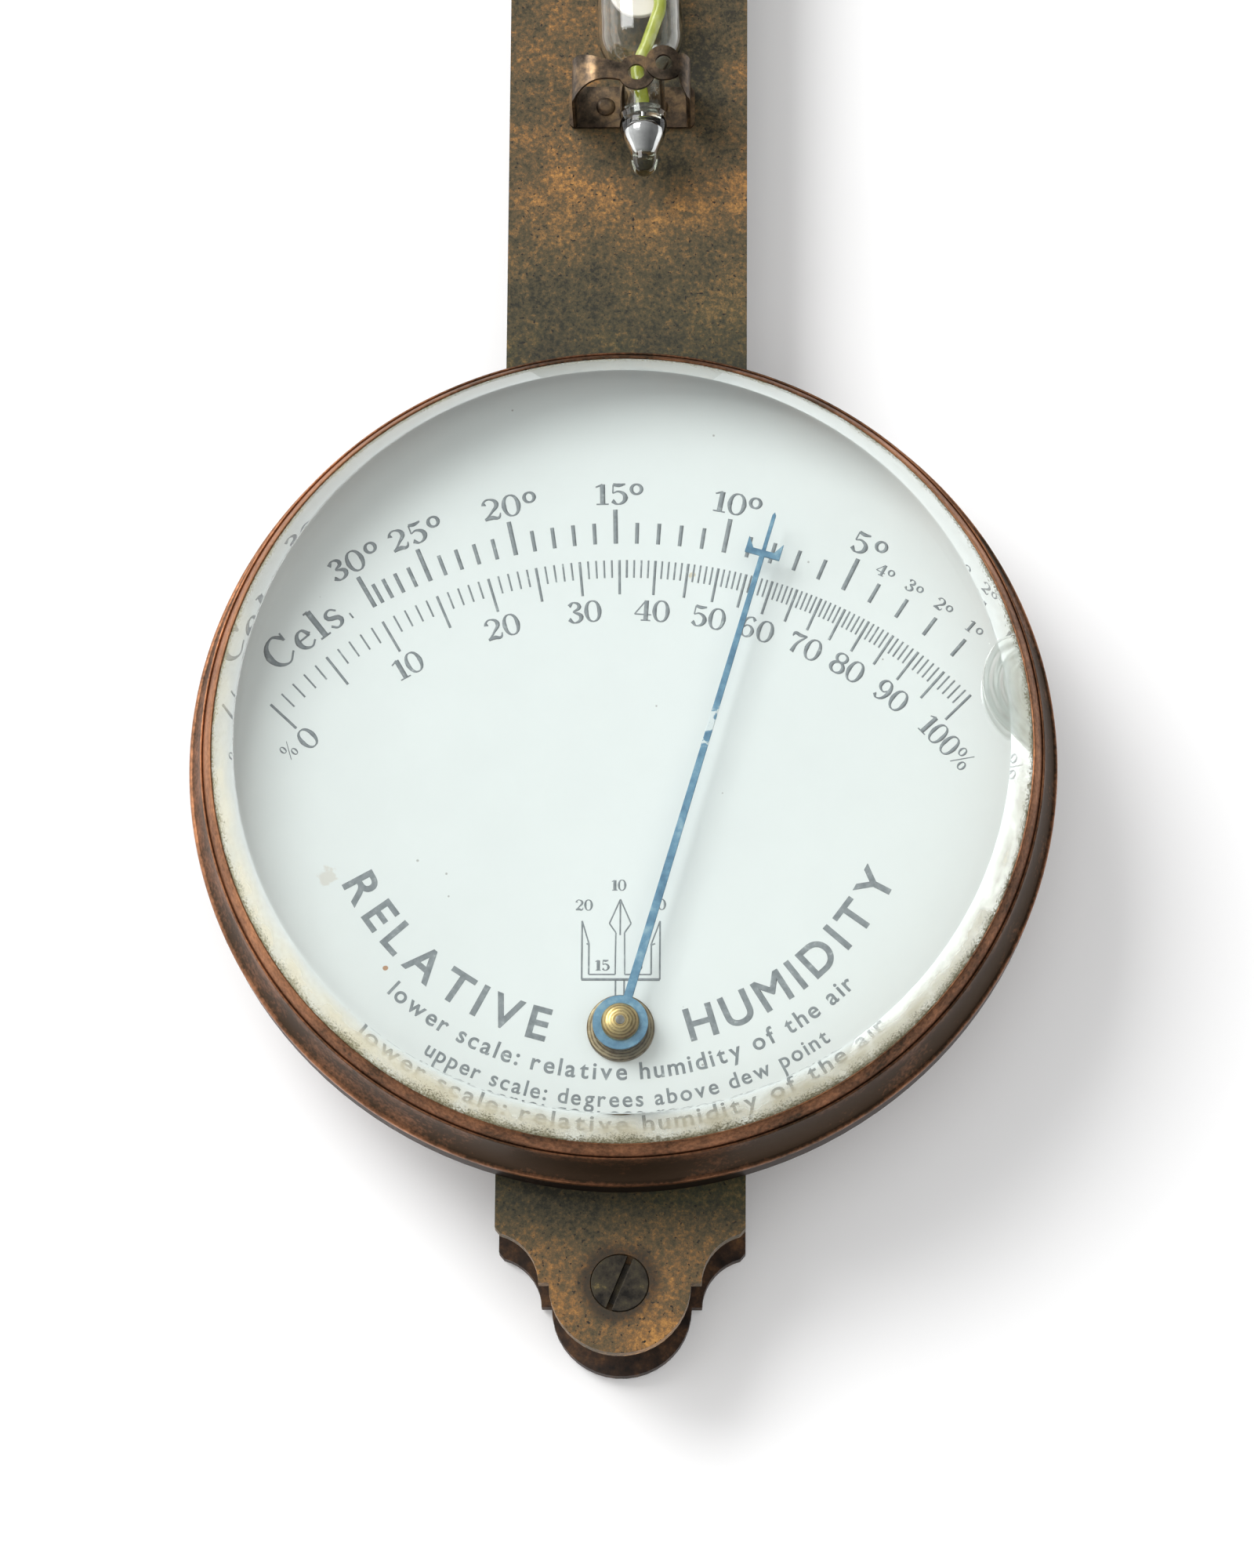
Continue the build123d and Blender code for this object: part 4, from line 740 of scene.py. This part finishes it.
def word_on_arc(name, text, size, radius, middle, bold, gap):
    """Sans letters with their feet on an arc low on the dial; middle is its angle from straight down."""
    letters, widths = [], []
    for c in text:
        if c == " ":
            letters.append(None)
            widths.append(size * 0.36)
            continue
        shape = bpy.data.curves.new(name, "FONT")
        shape.size = size * MM
        shape.bevel_depth = bold * MM
        shape.body = c
        letter = bpy.data.objects.new(name, shape)
        bpy.context.scene.collection.objects.link(letter)
        pick(letter)
        bpy.ops.object.convert(target="MESH", keep_original=False)
        letter = bpy.context.object
        reach = [v.co.x for v in letter.data.vertices]
        letter.data.transform(Matrix.Translation((-(min(reach) + max(reach)) / 2, 0, 0)))
        letters.append(letter)
        widths.append((max(reach) - min(reach)) / MM + size * 0.13 * gap)
    # text lies in XY: it is pressed flat, stood up in the dial's plane, turned, and moved to the arc
    stand = Matrix.Rotation(math.radians(90), 4, "X") @ Matrix.Diagonal((1, 1, 0.1, 1))
    at = -sum(widths) / 2
    placed = []
    for letter, wide in zip(letters, widths):
        angle = math.radians(middle) + (at + wide / 2) / radius
        at += wide
        if letter is None:
            continue
        x, z = WORDS[0] + radius * math.sin(angle), WORDS[1] - radius * math.cos(angle)
        place = Matrix.Translation((x * MM, (DIAL_FACE - 0.015) * MM, z * MM))
        letter.data.transform(place @ Matrix.Rotation(-angle, 4, "Y") @ stand)
        placed.append(letter)
    for letter in placed:
        letter.select_set(True)
    bpy.context.view_layer.objects.active = placed[0]
    bpy.ops.object.join()
    word = bpy.context.object
    word.name = name
    return word


# ---------------------------------------------------------------- settings
class HygrometerSettings(PropertyGroup):
    edge_break: FloatProperty(
        name="Edge break", description="Bevel along the edges of the sheet brass, in millimetres",
        default=0.16, min=0.02, max=0.5)
    key_power: FloatProperty(
        name="Key light", description="Power of the large soft light", default=12.6, min=0.0, unit="POWER")
    gold_hex: StringProperty(name="Gold", description="Brass showing through the patina", default="#ba8848")
    film_hex: StringProperty(name="Film", description="Brown patina of the plates", default="#463e28")
    green_hex: StringProperty(
        name="Green", description="Green-black patina beside the drum", default="#383b26")
    enamel_hex: StringProperty(name="Enamel", description="White of the dial", default="#e2e7e6")
    ink_hex: StringProperty(name="Ink", description="Printed scales and letters", default="#6c7377")
    blue_hex: StringProperty(name="Hand", description="Blued steel of the hand", default="#5c88a2")


class Piece:
    """What every operator of this file shares."""
    bl_options = {"REGISTER", "UNDO"}

    def execute(self, context):
        self.build(context.scene.hygrometer)
        return {"FINISHED"}


class HYGRO_OT_plates(Piece, Operator):
    """Front and rear plate with broken edges and patina; the rear plate's brass is painted dark as shade"""
    bl_idname = "hygro.plates"
    bl_label = "Plates"

    def build(self, look):
        for node, brass in (("front_plate", "patinated_brass"), ("rear_plate", "stained_brass")):
            finish(node, "instrument", "patinated_brass", look.edge_break, brass, "worn_brass_edge")


class HYGRO_OT_screws(Piece, Operator):
    """Pillars, screws and the seats between the plates"""
    bl_idname = "hygro.screws"
    bl_label = "Screws and pillars"

    def build(self, look):
        for node in (
            "lower_front_screw", "upper_front_screw", "rear_plate_screws", "case_screws", "yoke_screws",
        ):
            finish(node, "instrument", "dark_screw", 0.1, "dark_screw")
        for node in ("lower_pillar", "upper_pillar", "rear_bush", "dial_seat_ring"):
            finish(node, "instrument", "aged_brass", 0.1, "aged_brass")


class HYGRO_OT_case(Piece, Operator):
    """Case pan behind the dial"""
    bl_idname = "hygro.case"
    bl_label = "Case pan"

    def build(self, look):
        finish("case_pan", "instrument", "bronzed_case", 0.2, "bronzed_case")


class HYGRO_OT_dial(Piece, Operator):
    """Enamelled dial plate"""
    bl_idname = "hygro.dial"
    bl_label = "Dial"

    def build(self, look):
        finish("dial_plate", "instrument", "white_dial", 0.05, "white_enamel")


class HYGRO_OT_print(Piece, Operator):
    """Scales, numbers and words printed on the dial"""
    bl_idname = "hygro.print"
    bl_label = "Dial print"

    def build(self, look):
        humidity, dew = "lower scale: relative humidity of the air", "upper scale: degrees above dew point"
        for piece in (
            drawn_line("scale_marks", scale_marks()),
            drawn_line("scale_numbers", scale_numbers()),
            drawn_line("correction_key", trident()),
            word_on_arc("word_relative", "RELATIVE", 5.5, 35.7, -38.3, bold=0.1, gap=1.8),
            word_on_arc("word_humidity", "HUMIDITY", 5.5, 35.7, 39.4, bold=0.1, gap=1.8),
            word_on_arc("line_scale", humidity, 2.85, 39.3, 1.0, bold=0.05, gap=1.3),
            word_on_arc("line_dew", dew, 2.6, 42.5, 2.0, bold=0.04, gap=1.2),
        ):
            dress(piece, "instrument", "white_dial", "printing_ink")


class HYGRO_OT_bezel(Piece, Operator):
    """Moulded bezel: bead, wide cove and overhanging ridge"""
    bl_idname = "hygro.bezel"
    bl_label = "Bezel"

    def build(self, look):
        seat = LIP + 2.2
        bead_in, bead_out = 48.65, 48.95
        ridge, lip_in, wall, skirt = CASE_R + 0.2, 47.15, 49.15, 49.8
        fillet = 0.42
        # the cove is one quadratic curve from under the bead to the foot of the ridge
        start, pull = (bead_out, LIP + 2.15), (bead_out + 0.06, LIP + 5.6)
        end = (ridge - fillet, CASE_RIM - 0.85)
        cove = []
        for i in range(14):
            t = i / 13
            cove.append(tuple(
                (1 - t) ** 2 * p + 2 * t * (1 - t) * q + t * t * r for p, q, r in zip(start, pull, end)))
        section = [
            (lip_in, seat), (bead_in, seat), (bead_in, LIP + 1.8),
            *arc((bead_in + 0.15, LIP + 1.8), 0.15, 180, 360, 6)[1:], *cove,
            *arc((ridge - fillet, CASE_RIM - 0.43), fillet, -90, 0, 6)[1:], (ridge, CASE_RIM),
            (skirt, CASE_RIM), (skirt, FRONT_FACE - 1.2), (wall, FRONT_FACE - 1.2), (wall, DIAL_FACE - 0.05),
            (48.4, DIAL_FACE - 0.05), (48.4, seat + 1.2), (lip_in, seat + 0.8),
        ]
        ring = spun("bezel_finish", section, DIAL, steps=256)
        dress(ring, "instrument", "copper_bronzed_bezel", "copper_bezel", node="bezel")


class HYGRO_OT_glass(Piece, Operator):
    """Bevelled glass, the split ring that holds it, and the dirt between them"""
    bl_idname = "hygro.glass"
    bl_label = "Glass"

    def build(self, look):
        flat, back = LIP - GLASS_PROUD, LIP + 2.2
        slope = GLASS_PROUD / (RING_R - GLASS_FLAT_R)
        # the short steps at the edge of the flat keep its shading true
        glass = spun("dial_glass_finish", [
            (0, flat), (GLASS_FLAT_R - 0.5, flat), (GLASS_FLAT_R - 0.12, flat),
            (GLASS_FLAT_R - 0.04, flat + 0.02), (GLASS_FLAT_R + 0.03, flat + 0.09),
            (GLASS_R, flat + slope * (GLASS_R - GLASS_FLAT_R)), (GLASS_R, back), (0, back),
        ], DIAL, steps=256)
        # light from the lamps passes straight to the dial; the eye and the reflections still see the glass
        glass.visible_shadow = False
        glass.visible_diffuse = False
        dress(glass, "instrument", "clear_glass", "plate_glass", node="dial_glass")

        inner, outer = (GRIME_R, flat + slope * 0.1), (47.52, flat + slope * 2.72)
        skin = 0.02
        grime = spun("glass_edge_grime", [
            (inner[0], inner[1] - skin), (outer[0], outer[1] - skin), outer, inner,
        ], DIAL, steps=192)
        grime.visible_shadow = False
        dress(grime, "instrument", "clear_glass", "edge_grime")

        heel = GLASS_R + 0.1
        ring = spun("glass_split_ring_finish", [
            (RING_R, LIP - 0.08), (47.5, LIP - 0.18), (47.6, LIP - 0.22), (47.72, LIP - 0.14),
            (48.52, LIP + 1.5), (48.6, LIP + 1.75), (48.6, back), (heel, back),
            (heel, LIP + slope * (heel - RING_R) - 0.08),
        ], DIAL, turn=359.59, steps=256)
        # the split is brought round to its place
        to_dial = Matrix.Translation((0, 0, DIAL[1] * MM))
        ring.data.transform(to_dial @ Matrix.Rotation(math.radians(146.0), 4, "Y") @ to_dial.inverted())
        dress(ring, "instrument", "copper_bronzed_bezel", "copper_bezel", node="glass_split_ring")


class HYGRO_OT_hand(Piece, Operator):
    """Blued hand with its boss and cap"""
    bl_idname = "hygro.hand"
    bl_label = "Hand"

    def build(self, look):
        finish("pointer", "pointer_work", "blued_steel", 0.05, "blued_steel")
        crown = []
        for a in range(8, 90, 9):
            tilt = math.radians(a)
            crown.append((0.55 + 1.65 * math.sin(tilt), HAND_FACE - 0.25 - 0.9 * math.cos(tilt)))
        cap = spun("pointer_cap_finish", [
            (0.55, HAND_FACE), (0.55, HAND_FACE - 1.15), *crown, (2.2, HAND_FACE - 0.22), (2.2, HAND_FACE),
        ], PIVOT, steps=96)
        dress(cap, "pointer_work", "brass", "turned_brass", node="pointer_cap")
        bore, foot, stem, rim = 0.83, -12.7, 1.9, 3.9
        boss = spun("front_bush_finish", [
            (bore, foot), (stem, foot), (stem, DIAL_FACE), (rim, DIAL_FACE), (rim, BOSS_FACE + 0.22),
            *arc((3.72, BOSS_FACE + 0.18), 0.18, 0, -90, 4), (3.1, BOSS_FACE), (3.02, BOSS_FACE + 0.06),
            (2.94, BOSS_FACE), (bore, BOSS_FACE),
        ], PIVOT, steps=96)
        dress(boss, "instrument", "aged_brass", "tarnished_brass", node="front_bush")
        finish("arbor", "pointer_work", "steel", 0.04, "turned_steel")
        finish("pointer_collet", "pointer_work", "brass", 0.04, "turned_brass")


class HYGRO_OT_movement(Piece, Operator):
    """Pulley, weight, hair and the adjuster between the plates"""
    bl_idname = "hygro.movement"
    bl_label = "Movement"

    def build(self, look):
        for node, body, edge in (
            ("hair_pulley", "pointer_work", 0.06), ("counterweight", "pointer_work", 0.15),
            ("hair_clamp", "hair_hanger", 0.12), ("adjusting_nut", "adjusting_wheel", 0.06),
            ("adjuster_yoke", "instrument", 0.12),
        ):
            finish(node, body, "aged_brass", edge, "aged_brass")
        for node, body, edge in (
            ("weight_arm", "pointer_work", 0.0), ("hub_set_screw", "pointer_work", 0.04),
            ("hair_clamp_screw", "hair_hanger", 0.05), ("adjusting_rod", "hair_hanger", 0.1),
        ):
            finish(node, body, "steel", edge, "turned_steel")
        finish("hair_bundle", "hair_hanger", "hair", 0.0, "human_hair")


def tube_wall(radius, stem, top, dome):
    """Foot, shoulder of two equal arcs, and dome of the blown tube."""
    out, foot, rise, parts = (radius - stem) / 2, 4.5, 3.2, 7
    bend = (out ** 2 + rise ** 2) / (2 * out)
    steps = [rise * i / parts for i in range(parts + 1)]
    bulge = [bend - math.sqrt(bend ** 2 - up ** 2) for up in steps]
    neck = [(stem + b, foot + up) for b, up in zip(bulge, steps)]
    neck += [(radius - b, foot + 2 * rise - up) for b, up in reversed(list(zip(bulge[:-1], steps)))]
    return neck + [(radius, top - dome)] + [
        (radius * math.cos(math.radians(a)), top - dome + dome * math.sin(math.radians(a)))
        for a in range(7, 86, 7)] + [(0, top)]


class HYGRO_OT_thermometer(Piece, Operator):
    """Glass thermometer: blown tube, opal strip, capillary and mercury bulb"""
    bl_idname = "hygro.thermometer"
    bl_label = "Thermometer"

    def build(self, look):
        outside = [(2.7, 0.35), (2.82, 0.6), (2.84, 0.8), (2.72, 1.05), *tube_wall(5.1, 2.7, TUBE_TOP, 4.5)]
        inside = tube_wall(4.5, 2.1, TUBE_TOP - 0.6, 3.9)
        tube = [(2.1, 0.0), (2.62, 0.0), *outside, *reversed(inside)]
        bulb = [
            (0, 1.3), (2.05, 1.3), (2.05, 0.0), (2.68, 0.0), (2.8, -0.3), (2.85, -0.75), (2.81, -1.2),
            (2.7, -1.6), (2.5, -2.25), (2.22, -2.9), (1.95, -3.5), (1.74, -4.05), (1.62, -4.45), (1.6, -4.75),
            (1.6, -5.25), (1.54, -5.7), (1.38, -6.25), (1.1, -6.72), (0.7, -7.05), (0.35, -7.17), (0, -7.2)]
        metal = [
            (0, 0.9), (0.24, 0.9), (0.24, -0.3), (1.5, -0.3), (1.95, -0.42), (2.26, -0.68), (2.42, -1.1),
            (2.4, -1.6), (2.26, -2.25), (1.98, -2.9), (1.66, -3.5), (1.4, -4.05), (1.2, -4.5), (0.95, -4.95),
            (0.55, -5.2), (0, -5.28)]
        # the metal wets the glass: its skin lies a hair inside the wall, so no air shows between them
        wet = 0.012
        bore = [(r and r - wet, z + wet if z < 0 else z - wet) for r, z in reversed(metal)]
        place = Matrix.Translation(Vector(TUBE_FOOT) * MM) @ Matrix.Rotation(math.radians(-TUBE_LEAN), 4, "Y")
        for node, section, slot, name in (
            ("thermometer_jacket", tube, "clear_glass", "blown_glass"),
            ("thermometer_bulb", bulb + bore, "clear_glass", "blown_glass"),
            ("mercury", metal, "mercury", "quicksilver"),
        ):
            # spun upright at the origin, then moved to the thermometer's leaning axis
            piece = spun(node + "_finish", section, axis="Z", steps=72)
            piece.data.transform(place)
            piece.visible_shadow = piece.visible_diffuse = name != "blown_glass"
            dress(piece, "instrument", slot, name, node=node)
        finish("thermometer_scale", "instrument", "opal_glass", 0.2, "opal_glass")
        finish("thermometer_capillary", "instrument", "capillary_glass", 0.0, "yellow_glass")


class HYGRO_OT_clips(Piece, Operator):
    """Bent clips that hold the thermometer, with their rivets"""
    bl_idname = "hygro.clips"
    bl_label = "Clips"

    def build(self, look):
        for clip in ("lower_clip", "upper_clip"):
            finish(clip, "instrument", "clip_brass", 0.09, "clip_sheet")
            finish(clip + "_rivets", "instrument", "clip_brass", 0.08, "clip_sheet")


# ---------------------------------------------------------------- stage
def wall_white():
    """Pale matt wall. Seen from behind it is clear, so the instrument's back can be looked at."""
    plain = {"Roughness": 0.9, "Base_Color": linear("#fbfbfb"), "Specular_IOR_Level": 0.0}
    mat, shader, _ = new_material("pale_wall", **plain)
    back = add(mat, "NewGeometry", out="Backfacing")
    mixed = add(mat, "MixShader", [back, shader.outputs[0], add(mat, "BsdfTransparent")])
    put(mat.node_tree.nodes["Material Output"].inputs["Surface"], mixed)
    return mat


def lamp(name, place, aim, size, power, across=None):
    """Soft rectangular lamp that looks at its aim; across is its height where that differs from its width."""
    data = bpy.data.lights.new(name, "AREA")
    data.shape = "RECTANGLE"
    data.size = size
    data.size_y = across or size
    data.energy = power
    made = bpy.data.objects.new(name, data)
    bpy.context.scene.collection.objects.link(made)
    made.location = place
    made.rotation_mode = "QUATERNION"
    made.rotation_quaternion = (Vector(aim) - Vector(place)).to_track_quat("-Z", "Y")
    return made


def studio_world():
    """Air round the object: near white to the eye, and to the metal bright on the left and above."""
    world = bpy.data.worlds.new("studio")
    world.use_nodes = True
    sky = world.node_tree.nodes["Background"]
    direction = add(world, "TexCoord", out="Generated")
    across = add(world, "SeparateXYZ", [direction], out="X")
    height = add(world, "SeparateXYZ", [direction], out="Z")
    side = add(world, "MapRange", [across, -0.9, 0.7, 0.84, 0.2])
    low = add(world, "MapRange", [height, 0.2, -0.5, 1.0, 0.6])
    seen = add(world, "LightPath", out="Is Camera Ray")
    around = total(world, side, low, operation="MULTIPLY")
    feed(sky, Strength=1.0, Color=add(world, "Mix", {0: seen, 2: around, 3: 0.96}, data_type="FLOAT"))
    return world


class HYGRO_OT_stage(Piece, Operator):
    """Camera, pale wall and soft studio light"""
    bl_idname = "hygro.stage"
    bl_label = "Stage"

    def build(self, look):
        scene = bpy.context.scene
        scene.view_settings.view_transform = "Standard"
        scene.world = studio_world()
        # the wall the instrument hangs on
        bpy.ops.object.select_all(action="DESELECT")
        upright = (math.radians(90), 0, 0)
        bpy.ops.mesh.primitive_plane_add(size=3.0, location=(0, 0.0004, -0.15), rotation=upright)
        wall = bpy.context.object
        wall.name = "wall"
        wall.data.materials.append(wall_white())
        wall.visible_shadow = False
        centre = (0, -0.02, -0.18)
        lamp("key", (-0.7, -0.95, 0.4), centre, 0.75, look.key_power)
        strip = lamp("left_strip", (-0.75, -0.22, -0.15), centre, 0.3, look.key_power * 0.12, across=0.9)
        strip.visible_transmission = False
        fill = lamp("fill", (0.35, -1.1, -0.35), centre, 1.3, look.key_power * 0.55)
        # kept out of the reflections, both on the glass and inside it
        fill.visible_glossy = False
        fill.visible_transmission = False
        fill.data.use_shadow = False
        lamp("back_fill", (0.1, 0.9, 0.0), centre, 0.8, look.key_power * 0.3)

        # the camera stands 0.7 m off and a little below, and looks up at the glass
        tilt, swing, roll = (math.radians(a) for a in (17.0, -1.11, 0.42))
        ahead = Vector((math.sin(swing) * math.cos(tilt), math.cos(swing) * math.cos(tilt), math.sin(tilt)))
        right = ahead.cross(Vector((0, 0, 1))).normalized()
        up = right.cross(ahead)
        right, up = right * math.cos(roll) + up * math.sin(roll), up * math.cos(roll) - right * math.sin(roll)
        data = bpy.data.cameras.new("camera")
        data.lens = 139.5
        data.clip_start, data.clip_end = 0.01, 20.0
        camera = bpy.data.objects.new("camera", data)
        scene.collection.objects.link(camera)
        target = Vector((0.6445, LIP, DIAL[1] - 4.89)) * MM
        turn = Matrix((right, up, -ahead)).transposed().to_4x4()
        camera.matrix_world = Matrix.Translation(target - ahead * 0.7) @ turn
        scene.camera = camera


class HYGRO_PT_panel(Panel):
    """Sidebar panel of the hygrometer"""
    bl_idname = "HYGRO_PT_panel"
    bl_label = "Dial hygrometer"
    bl_space_type = "VIEW_3D"
    bl_region_type = "UI"
    bl_category = "Hygrometer"

    def draw(self, context):
        for key in HygrometerSettings.__annotations__:
            self.layout.prop(context.scene.hygrometer, key)
        for step in STEPS:
            self.layout.operator(step.bl_idname)


STEPS = (
    HYGRO_OT_plates, HYGRO_OT_screws, HYGRO_OT_case, HYGRO_OT_dial, HYGRO_OT_print, HYGRO_OT_bezel,
    HYGRO_OT_glass, HYGRO_OT_hand, HYGRO_OT_movement, HYGRO_OT_thermometer, HYGRO_OT_clips, HYGRO_OT_stage,
)


def register():
    for kind in (HygrometerSettings, *STEPS, HYGRO_PT_panel):
        bpy.utils.register_class(kind)
    bpy.types.Scene.hygrometer = bpy.props.PointerProperty(type=HygrometerSettings)


def unregister():
    del bpy.types.Scene.hygrometer
    for kind in reversed((HygrometerSettings, *STEPS, HYGRO_PT_panel)):
        bpy.utils.unregister_class(kind)


def main():
    register()
    for step in STEPS:
        group, name = step.bl_idname.split(".")
        getattr(getattr(bpy.ops, group), name)()
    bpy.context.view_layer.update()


if __name__ == "__main__":
    main()
